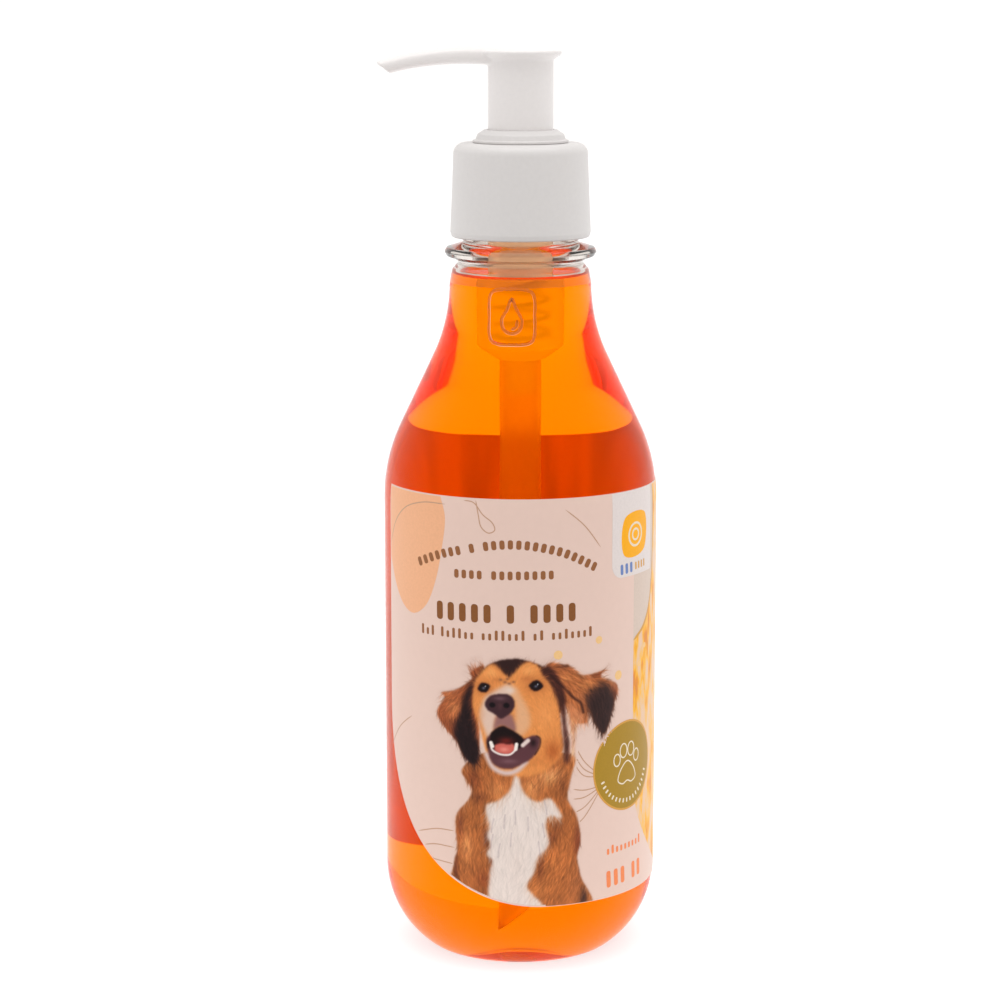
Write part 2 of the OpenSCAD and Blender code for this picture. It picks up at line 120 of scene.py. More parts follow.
# Seamless white paper. From just in front of the bottle backwards it glows: a painted pool of light,
# emission whose light also shines through the bottle. The front, without the glow, is painted a paler
# white.
floor_paper = material("white seamless paper")
spot = add(floor_paper, "ShaderNodeTexCoord")
spot_axes = add(floor_paper, "ShaderNodeSeparateXYZ", {"Vector": spot.outputs["Object"]})
# Painted light: the paper's emission rises from none at the front to a glow under and behind the bottle.
painted_glow_pool = add(floor_paper, "ShaderNodeMapRange", {
    "Value": spot_axes.outputs["Y"], "From Min": -0.12, "From Max": -0.03, "To Min": 0.0, "To Max": 0.7,
}, interpolation_type="SMOOTHSTEP")
# Painted to match: the paper's colour is paler at the front, where it has no painted glow.
painted_paper_tone = add(floor_paper, "ShaderNodeMapRange", {
    "Value": spot_axes.outputs["Y"], "From Min": -0.12, "From Max": -0.03, "To Min": 0.72, "To Max": 0.515,
}, interpolation_type="SMOOTHSTEP")
floor_shader = add(floor_paper, "ShaderNodeBsdfPrincipled", {
    "Base Color": painted_paper_tone.outputs["Result"], "Roughness": 0.9, "Specular IOR Level": 0.1,
    "Emission Color": srgb("#FFFFFF"), "Emission Strength": painted_glow_pool.outputs["Result"],
})
add(floor_paper, "ShaderNodeOutputMaterial", {"Surface": floor_shader.outputs["BSDF"]})
floor_mesh.materials.append(floor_paper)
floor = bpy.data.objects.new("floor", floor_mesh)
scene.collection.objects.link(floor)

soft_box = bpy.data.lights.new("overhead_soft_box", "AREA")
soft_box.shape = "RECTANGLE"
soft_box.size = 1.2
soft_box.size_y = 0.8
soft_box.energy = 5.0
overhead = bpy.data.objects.new("overhead_soft_box", soft_box)
overhead.location = (0, -0.1, 1.1)
scene.collection.objects.link(overhead)

camera_data = bpy.data.cameras.new("camera")
camera_data.lens = 103.4
camera_data.sensor_width = 36
camera = bpy.data.objects.new("camera", camera_data)
camera.location = (-0.00446, -0.625, 0.2123)
camera.rotation_euler = (math.radians(90 - 10.21), 0, 0)
scene.collection.objects.link(camera)
scene.camera = camera

# ---------- bottle ----------
# A bottle stretch-blown from clear PET: a round heel and pushed-up base, a long S-shaped
# shoulder, and a thick moulded neck with a support ring and one and a half turns of thread.

neck_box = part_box("bottle")
body_r = neck_box[1].x / MM
neck_top = neck_box[1].z / MM
wall = 0.6
heel_h, heel_r, foot_r, foot_w, push_up = 18, 22, 2, 2, 4
side_top, shoulder_r, shoulder_a = 101, 37, math.radians(25.5)
root_r = 15.47
ring_r, ring_half, ring_rim = 16.6, 2.0, 0.55
neck_r, bore_r, lip = 12.6, 10.85, 0.4
heel_turn = math.asin((heel_h - foot_r) / (heel_r - foot_r))
foot_x = body_r - heel_r + (heel_r - foot_r) * math.cos(heel_turn)
dome_edge = foot_x - foot_w
dome_r = (dome_edge ** 2 + push_up ** 2) / (2 * push_up)
cone_l = (body_r - root_r - 2 * shoulder_r * (1 - math.cos(shoulder_a))) / math.sin(shoulder_a)
root_z = side_top + 2 * shoulder_r * math.sin(shoulder_a) + cone_l * math.cos(shoulder_a)
ring_z = root_z + 6.65
bore_bottom = ring_z - 1.5


def arc(x, z, radius, start, end, step=0.05):
    """Points of an arc about (x, z), from angle start to angle end in radians."""
    count = max(2, math.ceil(abs(end - start) / step))
    angles = [start + (end - start) * i / count for i in range(count + 1)]
    return [(x + radius * math.cos(a), z + radius * math.sin(a)) for a in angles]


def rounded(*corners, steps=5):
    """The outline through (radius, height, rounding) corners, with an arc at each rounded one."""
    points = []
    for i, (x, z, size) in enumerate(corners):
        here = Vector((x, z))
        if size == 0:
            points.append((x, z))
            continue
        before = (Vector(corners[i - 1][:2]) - here).normalized()
        after = (Vector(corners[(i + 1) % len(corners)][:2]) - here).normalized()
        half = before.angle(after) / 2
        centre = here + (before + after).normalized() * size / math.sin(half)
        start = here + before * size / math.tan(half) - centre
        end = here + after * size / math.tan(half) - centre
        turn = start.angle(end)
        for k in range(steps + 1):
            share = k / steps
            spoke = (start * math.sin((1 - share) * turn) + end * math.sin(share * turn)) / math.sin(turn)
            points.append(tuple(centre + spoke))
    return points


def turned(outline, steps=160, closed=True):
    """A bmesh turned about Z from an outline of (radius, height) points in millimetres."""
    shape = bmesh.new()
    verts = [shape.verts.new((x, 0, z)) for x, z in outline]
    edges = [shape.edges.new(pair) for pair in zip(verts, verts[1:])]
    if closed:
        edges.append(shape.edges.new((verts[-1], verts[0])))
    bmesh.ops.spin(shape, geom=verts + edges, cent=(0, 0, 0), axis=(0, 0, 1), angle=2 * math.pi,
                   steps=steps, use_merge=True)
    bmesh.ops.remove_doubles(shape, verts=shape.verts, dist=0.0005)
    bmesh.ops.recalc_face_normals(shape, faces=shape.faces)
    return shape


def thread(root, crest, start_z, turns, pitch, root_w, crest_w, steps=48):
    """A thread ridge of trapezoid section wound on a helix, fading into the wall at both ends."""
    rise = 12 / steps
    least = 0.03
    shape = bmesh.new()
    section = [(root, -root_w / 2), (crest, -crest_w / 2), (crest, crest_w / 2), (root, root_w / 2)]
    face = shape.faces.new([shape.verts.new((x, 0, start_z + z)) for x, z in section])
    total = round(turns * steps)
    bmesh.ops.spin(shape, geom=[face], cent=(0, 0, 0), axis=(0, 0, 1), angle=turns * 2 * math.pi,
                   steps=total, dvec=(0, 0, turns * pitch / total))
    shape.verts.index_update()
    for vert in shape.verts:
        ring = vert.index // len(section)
        fade = min(1, ring * rise + least, (total - ring) * rise + least)
        reach = math.hypot(vert.co.x, vert.co.y)
        scale = (root + (reach - root) * fade) / reach
        vert.co.x *= scale
        vert.co.y *= scale
    bmesh.ops.recalc_face_normals(shape, faces=shape.faces)
    return shape


def join(shape, other):
    """Adds another bmesh to a bmesh."""
    held = bpy.data.meshes.new("held")
    other.to_mesh(held)
    other.free()
    shape.from_mesh(held)
    bpy.data.meshes.remove(held)


def piece(name, shape, finishes, body, stands_for=(), sharp=40):
    """Makes a piece from a bmesh in millimetres, smooth but for its sharp edges, on its body."""
    bmesh.ops.scale(shape, vec=(MM, MM, MM), verts=shape.verts)
    mesh = bpy.data.meshes.new(name)
    shape.to_mesh(mesh)
    shape.free()
    mesh.shade_smooth()
    mesh.set_sharp_from_angle(angle=math.radians(sharp))
    for finish in finishes:
        mesh.materials.append(finish)
    made = bpy.data.objects.new(name, mesh)
    scene.collection.objects.link(made)
    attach(made, body)
    if stands_for:
        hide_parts(*stands_for)
    return made


def body_outline(inset):
    """The base, heel, side and shoulder of the bottle, moved in from its outside by inset."""
    dome = dome_r + inset
    edge = math.sqrt(dome ** 2 - (dome_r - push_up + inset) ** 2)
    under = arc(0, push_up - dome_r, dome, math.pi / 2, math.acos(edge / dome), step=0.03)
    foot = arc(foot_x, foot_r, foot_r - inset, -math.pi / 2, -heel_turn, step=0.15)
    heel = arc(body_r - heel_r, heel_h, heel_r - inset, -heel_turn, 0)
    low = arc(body_r - shoulder_r, side_top, shoulder_r - inset, 0, shoulder_a, step=0.03)
    high = arc(root_r + shoulder_r, root_z, shoulder_r + inset, math.pi + shoulder_a, math.pi, step=0.03)
    return under + foot + heel + low + high


def clear_plastic(name, tint, bend, reflection):
    """Glass-clear PET with an uneven skin, of one tint, IOR and reflection."""
    made = material(name)
    where = add(made, "ShaderNodeTexCoord")
    noise = add(made, "ShaderNodeTexNoise", {
        "Vector": where.outputs["Object"], "Scale": 1 / (14 * MM), "Detail": 2,
    })
    skin = add(made, "ShaderNodeBump", {
        "Strength": 0.16, "Distance": 0.15 * MM, "Height": noise.outputs["Fac"],
    })
    gloss = add(made, "ShaderNodeMapRange", {"Value": noise.outputs["Fac"], "To Min": 0.0, "To Max": 0.035})
    shader = add(made, "ShaderNodeBsdfPrincipled", {
        "Base Color": srgb(tint), "Roughness": gloss.outputs["Result"], "IOR": bend,
        "Specular Tint": (reflection, reflection, reflection, 1), "Transmission Weight": 1.0,
        "Normal": skin.outputs["Normal"],
    })
    add(made, "ShaderNodeOutputMaterial", {"Surface": shader.outputs["BSDF"]})
    return made


# Blown PET wall: thin and wet inside, so it hardly bends light. Moulded PET neck: thick, so its rims and
# ring draw dark and bright lines; its tint, greyer than the wall's, is painted shade.
blown_pet = clear_plastic("clear blown PET", "#FBF9F6", bend=1.12, reflection=0.3)
neck_pet_tinted_for_shade = clear_plastic("clear moulded PET neck", "#DDD6D0", bend=1.5, reflection=0.4)

neck_outline = rounded(
    (root_r, root_z, 0),
    (root_r - 0.55, root_z + 2.8, 1.4),
    (ring_r - 3.23, ring_z - ring_half, 0.6),
    (ring_r - 0.5, ring_z - ring_rim - 0.4, 0.5),
    (ring_r, ring_z, 0.35),
    (ring_r - 0.5, ring_z + ring_rim + 0.4, 0.5),
    (neck_r, ring_z + ring_half, 0.5),
    (neck_r, neck_top, lip),
    (bore_r, neck_top, 0.3),
    (bore_r, bore_bottom, 2.5),
    (root_r - wall, root_z, 0),
)
bottle_outline = body_outline(0)[:-1] + neck_outline + body_outline(wall)[-2::-1]
bottle_shape = turned(bottle_outline, steps=192)
thread_pitch, thread_turns, thread_crest = 4.2, 1.5, 13.55
male_z = neck_top - 1.9 - thread_pitch * thread_turns
join(bottle_shape, thread(neck_r - 0.3, thread_crest, male_z, thread_turns, thread_pitch, 2.2, 0.9))
for face in bottle_shape.faces:
    face.material_index = 1 if face.calc_center_median().z > root_z else 0
piece("clear_bottle", bottle_shape, [blown_pet, neck_pet_tinted_for_shade], "bottle_body", ["bottle"])

# ---------- shampoo ----------
# Thin orange shampoo, dyed and clear, that wets the whole inside of the bottle. Its top
# turns up a little where it meets the wall.

fill_z = root_z + 1.1
meniscus, meniscus_w = 1.0, 2.2
wetted = 0.15
throat_slope = (bore_r - root_r + wall) / (bore_bottom - root_z)


def throat_r(z):
    """Radius of the bottle's inside, at a height between the shoulder and the bore."""
    return root_r - wall + throat_slope * (z - root_z)


# Dyed shampoo: it lets red through, takes a share of the green, and nearly all of the blue.
# The wall it lies against was drawn upwards, which gives it faint upright streaks.
orange_shampoo = material("clear orange shampoo")
flow_place = add(orange_shampoo, "ShaderNodeTexCoord")
flow_drawn = add(orange_shampoo, "ShaderNodeMapping", {
    "Vector": flow_place.outputs["Object"], "Scale": (1, 1, 0.07),
})
flow = add(orange_shampoo, "ShaderNodeTexNoise", {
    "Vector": flow_drawn.outputs["Vector"], "Scale": 1 / (9 * MM), "Detail": 0,
})
flow_bump = add(orange_shampoo, "ShaderNodeBump", {
    "Strength": 0.35, "Distance": 0.3 * MM, "Height": flow.outputs["Fac"],
})
# Painted light: the surfaces glow faintly orange, which brightens the shampoo where it would look dark.
shampoo_shader = add(orange_shampoo, "ShaderNodeBsdfPrincipled", {
    "Base Color": srgb("#FF9500"), "Roughness": 0.0, "IOR": 1.35, "Transmission Weight": 1.0,
    "Specular Tint": srgb("#000000"), "Emission Color": srgb("#FF6900"), "Emission Strength": 0.12,
    "Normal": flow_bump.outputs["Normal"],
})
dye = add(orange_shampoo, "ShaderNodeVolumeAbsorption", {"Color": srgb("#FFA200"), "Density": 13.0})
add(orange_shampoo, "ShaderNodeOutputMaterial", {
    "Surface": shampoo_shader.outputs["BSDF"], "Volume": dye.outputs["Volume"],
})

wall_r = throat_r(fill_z + meniscus) + wetted
surface = arc(0, fill_z + meniscus, meniscus, 0, -math.pi / 2, step=0.2)
surface = [(wall_r - meniscus_w + x * meniscus_w, z) for x, z in surface]
shampoo_outline = body_outline(wall - wetted) + surface + [(0, fill_z)]
piece("orange_shampoo", turned(shampoo_outline, steps=192, closed=False), [orange_shampoo], "bottle_body",
      ["shampoo"])

# ---------- housing and dip tube ----------
# The pump's milky body hangs in the neck by its flange, with a wide cup, a narrow chamber
# and a barbed nipple. The dip tube is pressed on that nipple and cut at a slant at its foot.

housing_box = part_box("housing")
flange_r = housing_box[1].x / MM
flange_top = housing_box[1].z / MM
flange_z = flange_top - 1.6
cup_r, cup_in = 10.4, 9.3
cup_bottom = flange_z - 16.3
cup_floor = cup_bottom + 0.9
chamber_r, chamber_in = 7.1, 6.35
chamber_bottom = cup_bottom - 25.7
chamber_floor = chamber_bottom + 1.2
cone_h = 3
nipple_top = chamber_bottom - cone_h
nipple_bottom = housing_box[0].z / MM
nipple_r, nipple_end_r, throat_bore = 2.57, 2.17, 1.7
pocket_r = 2.75
pocket_floor = nipple_top + 0.65
tube_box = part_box("dip_tube")
tube_r = tube_box[1].x / MM
tube_in = 2.6
tube_bottom = tube_box[0].z / MM
tube_slant = math.radians(35)


def milky_plastic(name, clear, glow_code, glow):
    """Unpigmented polyolefin: waxy, it lets light through without showing shapes, and glows with painted
    light of its own.
    """
    made = material(name)
    where = add(made, "ShaderNodeTexCoord")
    cloud = add(made, "ShaderNodeTexNoise", {
        "Vector": where.outputs["Object"], "Scale": 1 / (6 * MM), "Detail": 3,
    })
    milk = add(made, "ShaderNodeValToRGB", {"Fac": cloud.outputs["Fac"]})
    milk.color_ramp.elements[0].color = srgb("#E9E4DA")
    milk.color_ramp.elements[1].color = srgb("#F7F4EE")
    shader = add(made, "ShaderNodeBsdfPrincipled", {
        "Base Color": milk.outputs["Color"], "Roughness": 0.45, "IOR": 1.12, "Transmission Weight": clear,
        "Emission Color": srgb(glow_code), "Emission Strength": glow,
    })
    add(made, "ShaderNodeOutputMaterial", {"Surface": shader.outputs["BSDF"]})
    return made


# Natural polypropylene of the pump, and the softer, clearer polyethylene of the dip tube.
# Both glow with painted light: a peach emission on the pump's parts, an orange one on the dip tube.
natural_pp = milky_plastic("milky natural polypropylene", 0.72, "#FFCB9E", 0.17)
natural_pe = milky_plastic("milky natural polyethylene", 0.86, "#FF953F", 0.05)

housing_shape = turned(rounded(
    (flange_r, flange_z, 0.3), (flange_r, flange_top, 0.3), (cup_in, flange_top, 0.2),
    (cup_in, cup_floor, 0.4),
    (chamber_in, cup_floor, 0.2), (chamber_in, chamber_floor, 0.3), (pocket_r, chamber_floor, 0.15),
    (pocket_r, pocket_floor, 0.2), (throat_bore, pocket_floor, 0.1), (throat_bore, nipple_bottom, 0.2),
    (nipple_end_r, nipple_bottom, 0.2), (nipple_r, nipple_bottom + 1, 0.3), (nipple_r, nipple_top, 0),
    (chamber_r - cone_h, nipple_top, 0.3), (chamber_r, chamber_bottom, 0.8), (chamber_r, cup_bottom, 0.4),
    (cup_r, cup_bottom, 0.8), (cup_r, flange_z, 0.3),
), steps=96)
piece("pump_housing", housing_shape, [natural_pp], "pump_body", ["housing"])

tube_shape = turned(rounded(
    (tube_r, tube_bottom, 0), (tube_r, nipple_top, 0.25), (tube_in, nipple_top, 0.25),
    (tube_in, tube_bottom, 0),
), steps=64)
tube_parts = tube_shape.verts[:] + tube_shape.edges[:] + tube_shape.faces[:]
cut = bmesh.ops.bisect_plane(tube_shape, geom=tube_parts, dist=0.0001, plane_co=(-tube_r, 0, tube_bottom),
                             plane_no=(math.sin(tube_slant), 0, -math.cos(tube_slant)), clear_outer=True)
rims = [edge for edge in cut["geom_cut"] if isinstance(edge, bmesh.types.BMEdge)]
bmesh.ops.bridge_loops(tube_shape, edges=rims)
bmesh.ops.recalc_face_normals(tube_shape, faces=tube_shape.faces)
piece("slant_cut_dip_tube", tube_shape, [natural_pe], "pump_body", ["dip_tube"])

# ---------- pieces inside the pump ----------
# The gasket, ball cage, check ball, stem, stem tip and piston keep their own shapes. They are a
# die-cut foam ring, a glass ball and small mouldings in white or natural polypropylene.


def bare_finish(name, low, high, grain, gloss, metal=0.0, clear=0.0, ior=1.49, depth=0.01):
    """A bare surface whose colour and skin vary with a grain of that size in millimetres."""
    made = material(name)
    where = add(made, "ShaderNodeTexCoord")
    noise = add(made, "ShaderNodeTexNoise", {
        "Vector": where.outputs["Object"], "Scale": 1 / (grain * MM), "Detail": 3,
    })
    tint = add(made, "ShaderNodeValToRGB", {"Fac": noise.outputs["Fac"]})
    tint.color_ramp.elements[0].color = srgb(low)
    tint.color_ramp.elements[1].color = srgb(high)
    bump = add(made, "ShaderNodeBump", {
        "Strength": 0.3, "Distance": depth * MM, "Height": noise.outputs["Fac"],
    })
    sheen = add(made, "ShaderNodeMapRange", {
        "Value": noise.outputs["Fac"], "To Min": gloss - 0.05, "To Max": gloss + 0.05,
    })
    shader = add(made, "ShaderNodeBsdfPrincipled", {
        "Base Color": tint.outputs["Color"], "Roughness": sheen.outputs["Result"], "IOR": ior,
        "Metallic": metal, "Transmission Weight": clear, "Normal": bump.outputs["Normal"],
    })
    add(made, "ShaderNodeOutputMaterial", {"Surface": shader.outputs["BSDF"]})
    return made


# Closed-cell polyethylene foam: matt white with fine pores.
gasket_foam = bare_finish("white polyethylene foam", "#DDDAD6", "#F4F2EF", grain=0.4, gloss=0.8, depth=0.05)
# Soda-lime glass, ground round: clear and very smooth.
ball_glass = bare_finish("clear soda-lime glass", "#F4F8F6", "#FFFFFF", grain=3, gloss=0.06, clear=1.0,
                         ior=1.52)
# Moulded white polypropylene: a soft gloss over a warm white, with a very fine spark-eroded grain.
white_pp = bare_finish("white moulded polypropylene", "#D3D0CF", "#D9D6D5", grain=0.9, gloss=0.42,
                       depth=0.006)

inside_finishes = {
    "gasket": gasket_foam, "ball_cage": natural_pp, "check_ball": ball_glass,
    "stem": white_pp, "stem_tip": white_pp, "piston": natural_pp,
}
for name, finish in inside_finishes.items():
    cad_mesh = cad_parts[name].data
    cad_mesh.materials.clear()
    cad_mesh.materials.append(finish)

# ---------- return spring ----------
# A spring wound from stainless wire, with both ends closed. It stands on the ball cage.

spring_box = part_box("spring")
spring_free = (spring_box[1].z - spring_box[0].z) / MM
wire_r = 0.45
coil_r = spring_box[1].x / MM - wire_r
spring_foot = spring_box[0].z / MM + wire_r
rise_turns, flat_turns, turn_steps = 4, 0.75, 40

# Stainless spring wire: drawn bright, with faint die marks.
spring_wire = bare_finish(
    "drawn stainless spring wire", "#9A9B9E", "#C9CACC", grain=0.3, gloss=0.25, metal=1.0, ior=1.5,
)

spring_shape = bmesh.new()
wire_end = bmesh.ops.create_circle(spring_shape, cap_ends=True, segments=10, radius=wire_r)["verts"]
bmesh.ops.rotate(spring_shape, verts=wire_end, cent=(0, 0, 0), matrix=Matrix.Rotation(math.pi / 2, 3, "X"))
bmesh.ops.translate(spring_shape, verts=wire_end, vec=(coil_r, 0, spring_foot))
end_face = spring_shape.faces[:]
for turns, lift in ((flat_turns, 0), (rise_turns, spring_free - 2 * wire_r), (flat_turns, 0)):
    steps = round(turns * turn_steps)
    spun = bmesh.ops.spin(spring_shape, geom=end_face, cent=(0, 0, 0), axis=(0, 0, 1),
                          angle=turns * 2 * math.pi, steps=steps, dvec=(0, 0, lift / steps))
    end_face = [item for item in spun["geom_last"] if isinstance(item, bmesh.types.BMFace)]
bmesh.ops.recalc_face_normals(spring_shape, faces=spring_shape.faces)
spring_piece = piece("return_spring", spring_shape, [spring_wire], "pump_body", ["spring"],
                     sharp=60)
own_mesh(spring_piece)

# ---------- closure ----------
# The screw closure, moulded in white polypropylene, that clamps the pump on the neck. It has
# a plain side with a little taper, a full round top edge and one turn of thread inside.

closure_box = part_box("closure")
closure_r = closure_box[1].x / MM
closure_bottom = closure_box[0].z / MM
closure_face = closure_box[1].z / MM
closure_top_r, closure_edge, closure_hole, closure_bore = 14.6, 2.4, 9.7, 13.75
closure_top = 1.6
thread_gap = 1.625

closure_shape = turned(rounded(
    (closure_bore, closure_bottom, 0.3), (closure_r - 0.3, closure_bottom, 0.5),
    (closure_r, closure_bottom + 1.2, 0.8),
    (closure_r - 0.3, closure_bottom + 7.7, 6), (closure_top_r, closure_face - closure_edge, 0),
    (closure_top_r, closure_face, closure_edge), (closure_hole, closure_face, 0.3),
    (closure_hole, closure_face - closure_top, 0.1), (closure_bore, closure_face - closure_top, 0.4),
    steps=8,
), steps=160)
female_z = male_z - thread_gap
join(closure_shape, thread(closure_bore + 0.3, neck_r + 0.35, female_z, 1, thread_pitch, 1.8, 0.8))
piece("screw_closure", closure_shape, [white_pp], "closure_body", ["closure"])

# ---------- pump collar ----------
# The collar snapped into the housing, in the same white polypropylene. It guides the head
# and shows as a small domed step on top of the closure.

collar_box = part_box("chaplet")
collar_r = collar_box[1].x / MM
collar_top = collar_box[1].z / MM
collar_z = collar_top - 2.5
brim_z = collar_z - 0.22
collar_bore, collar_bore_foot = 7.25, collar_top - 5
sleeve_r, sleeve_in = 9.22, 7.95
press_floor = cup_floor + 1.5
boss_r, boss_top, guide_r = 4.9, press_floor + 2.9, 3.55

collar_shape = turned(rounded(
    (guide_r, cup_floor, 0), (sleeve_r, cup_floor, 0.6), (sleeve_r, brim_z, 0), (collar_r, brim_z, 0.08),
    (collar_r, collar_z + 0.25, 0.1), (9.75, collar_z + 0.45, 0.2), (9.35, collar_z + 1.55, 0.7),
    (7.9, collar_top - 0.02, 0.5), (collar_bore, collar_top, 0.15), (collar_bore, collar_bore_foot, 0),
    (sleeve_in, collar_bore_foot, 0), (sleeve_in, press_floor, 0.4), (boss_r, press_floor, 0.2),
    (boss_r, boss_top, 0.2), (guide_r, boss_top, 0.1),
), steps=128)
piece("pump_collar", collar_shape, [white_pp], "pump_body", ["chaplet"])

# ---------- pump head ----------
# The actuator: skirt, thumb pad and spout moulded in one piece of white polypropylene, so
# its parts are blended into one skin. The spout bends down and ends in a slanted mouth.

head_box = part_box("actuator")
skirt_r, skirt_in = 7.05, 6.0
skirt_bottom = head_box[0].z / MM
skirt_top = collar_top + 15.0
skirt_roof = skirt_top - 2
pad_r = head_box[1].x / MM
pad_top = skirt_top + 2.0
hub_bottom = press_floor + 14.3
stem_r, stem_top = 3.55, hub_bottom + 13
spout_tip_x = head_box[0].x / MM
spout_x, spout_bend, spout_h, spout_w, spout_taper = -11, 68, 4.0, 8.0, 0.78
spout_z = head_box[1].z / MM - spout_h / 2
bend_z = spout_z - spout_bend
spout_root, mouth_reach = 4, 1.0
spout_start = math.asin((spout_root + spout_x) / spout_bend)
spout_end = math.asin((spout_x - spout_tip_x - mouth_reach) / (spout_bend + spout_h / 2 * spout_taper))
spout_steps, spout_sides, spout_square = 28, 40, 0.72
tip_slant, mouth_wall, mouth_depth = 0.6, 0.75, 7

# The same white polypropylene on the head, painted a lighter white: painted light that makes the head
# brighter than the closure.
white_pp_painted_lighter = bare_finish(
    "white moulded polypropylene painted lighter", "#E4E0DF", "#EAE6E5", grain=0.9, gloss=0.4, depth=0.006,
)

head_shape = turned(rounded(
    (skirt_r, skirt_bottom, 0.2), (skirt_r, skirt_top, 0.5), (pad_r - 0.5, skirt_top + 0.75, 0.6),
    (pad_r, skirt_top + 1.2, 0.2), (pad_r - 0.1, pad_top, 0.5), (pad_r / 2, pad_top - 0.28, 3),
    (0, pad_top - 0.35, 0), (0, stem_top, 0), (stem_r, stem_top, 0), (stem_r, hub_bottom, 0),
    (boss_r, hub_bottom, 0.2), (boss_r, skirt_roof, 0.3), (skirt_in, skirt_roof, 0.3),
    (skirt_in, skirt_bottom, 0.1),
), steps=128)

spout_shape = bmesh.new()
ring = bmesh.ops.create_circle(spout_shape, cap_ends=True, segments=spout_sides, radius=1)["verts"]
for vert in ring:
    x, y = vert.co.x, vert.co.y
    vert.co.x = spout_h / 2 * math.copysign(abs(x) ** spout_square, x)
    vert.co.y = spout_w / 2 * math.copysign(abs(y) ** spout_square, y)
bmesh.ops.rotate(spout_shape, verts=ring, cent=(0, 0, 0), matrix=Matrix.Rotation(-math.pi / 2, 3, "Y"))
bmesh.ops.translate(spout_shape, verts=ring, vec=(spout_x, 0, spout_z))
bend_axis = Vector((spout_x, 0, bend_z))
bmesh.ops.rotate(spout_shape, verts=ring, cent=bend_axis, matrix=Matrix.Rotation(-spout_start, 3, "Y"))
step_turn = Matrix.Rotation(-(spout_end - spout_start) / spout_steps, 3, "Y")
end_face = spout_shape.faces[:]
for i in range(spout_steps):
    grown = bmesh.ops.extrude_face_region(spout_shape, geom=end_face)
    verts = [v for v in grown["geom"] if isinstance(v, bmesh.types.BMVert)]
    old_face = end_face
    end_face = [f for f in grown["geom"] if isinstance(f, bmesh.types.BMFace)]
    if i > 0:
        bmesh.ops.delete(spout_shape, geom=old_face, context="FACES_ONLY")
    bmesh.ops.rotate(spout_shape, verts=verts, cent=bend_axis, matrix=step_turn)
    narrowing = (1 - spout_taper) / spout_steps
    shrink = (1 - narrowing * (i + 1)) / (1 - narrowing * i)
    middle = sum((v.co for v in verts), Vector()) / len(verts)
    bmesh.ops.scale(spout_shape, vec=(shrink,) * 3, verts=verts, space=Matrix.Translation(-middle))
spout_axis = Vector((-math.cos(spout_end), 0, -math.sin(spout_end)))
across = Vector((-math.sin(spout_end), 0, math.cos(spout_end)))
middle = sum((v.co for v in verts), Vector()) / len(verts)
for vert in verts:
    vert.co += spout_axis * (vert.co - middle).dot(across) * tip_slant
bmesh.ops.inset_region(spout_shape, faces=end_face, thickness=mouth_wall, use_even_offset=True)
bored = bmesh.ops.extrude_face_region(spout_shape, geom=end_face)
bored_verts = [v for v in bored["geom"] if isinstance(v, bmesh.types.BMVert)]
bmesh.ops.delete(spout_shape, geom=end_face, context="FACES_ONLY")
bmesh.ops.translate(spout_shape, verts=bored_verts, vec=-spout_axis * mouth_depth)
bmesh.ops.recalc_face_normals(spout_shape, faces=spout_shape.faces)
join(head_shape, spout_shape)


def blended(shape, voxel, rounds):
    """The skin round all the solids of a bmesh, remeshed with voxels and smoothed."""
    mesh = bpy.data.meshes.new("blend")
    shape.to_mesh(mesh)
    shape.free()
    held = bpy.data.objects.new("blend", mesh)
    scene.collection.objects.link(held)
    remesh = held.modifiers.new("Remesh", "REMESH")
    remesh.mode = "VOXEL"
    remesh.voxel_size = voxel
    skinned = held.evaluated_get(bpy.context.evaluated_depsgraph_get())
    smooth = bmesh.new()
    smooth.from_mesh(skinned.to_mesh())
    bpy.data.objects.remove(held)
    for _ in range(rounds):
        bmesh.ops.smooth_vert(smooth, verts=smooth.verts, factor=0.5, use_axis_x=True, use_axis_y=True,
                              use_axis_z=True)
    return smooth


piece("pump_head", blended(head_shape, voxel=0.24, rounds=4), [white_pp_painted_lighter], "head",
      ["actuator"], sharp=75)

# ---------- label ----------
# A label of white polypropylene film, printed on its face, that goes nearly all the way
# round the straight side. Its lower left corner is cut to a wide round.

label_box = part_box("label")
label_bottom = label_box[0].z / MM
label_top = label_box[1].z / MM
label_start, label_sweep = math.radians(-70), math.radians(338)
label_left = label_start * body_r
label_right = label_left + label_sweep * body_r
corner_r = 42
film_in, film_out = -0.03, 0.08
slice_w = 0.75
curving_heights = (heel_h - 1.5, heel_h - 0.8, heel_h, *(side_top + rise for rise in (0, 1, 2, 3, 3.6)))


def side_r(z):
    """Radius of the bottle's outside between the heel and the lower shoulder."""
    if z < heel_h:
        return body_r - heel_r + math.sqrt(heel_r ** 2 - (heel_h - z) ** 2)
    if z < side_top:
        return body_r
    return body_r - shoulder_r + math.sqrt(shoulder_r ** 2 - (z - side_top) ** 2)


def sliced(shape):
    """Cuts a flat shape into upright slices, and across where the bottle's side curves in."""
    xs = [v.co.x for v in shape.verts]
    zs = [v.co.z for v in shape.verts]
    upright = range(math.ceil(min(xs) / slice_w), math.ceil(max(xs) / slice_w))
    cuts = [((k * slice_w, 0, 0), (1, 0, 0)) for k in upright]
    cuts += [((0, 0, z), (0, 0, 1)) for z in curving_heights if min(zs) < z < max(zs)]
    for spot, normal in cuts:
        everything = shape.verts[:] + shape.edges[:] + shape.faces[:]
        bmesh.ops.bisect_plane(shape, geom=everything, dist=0.0005, plane_co=spot, plane_no=normal)


def wrapped(shape, proud):
    """Bends a flat shape round the bottle, so far proud of it: its X goes round, its Y inwards."""
    for vert in shape.verts:
        around = vert.co.x / body_r
        reach = side_r(vert.co.z) + proud - vert.co.y
        vert.co = Vector((reach * math.sin(around), -reach * math.cos(around), vert.co.z))
    return shape


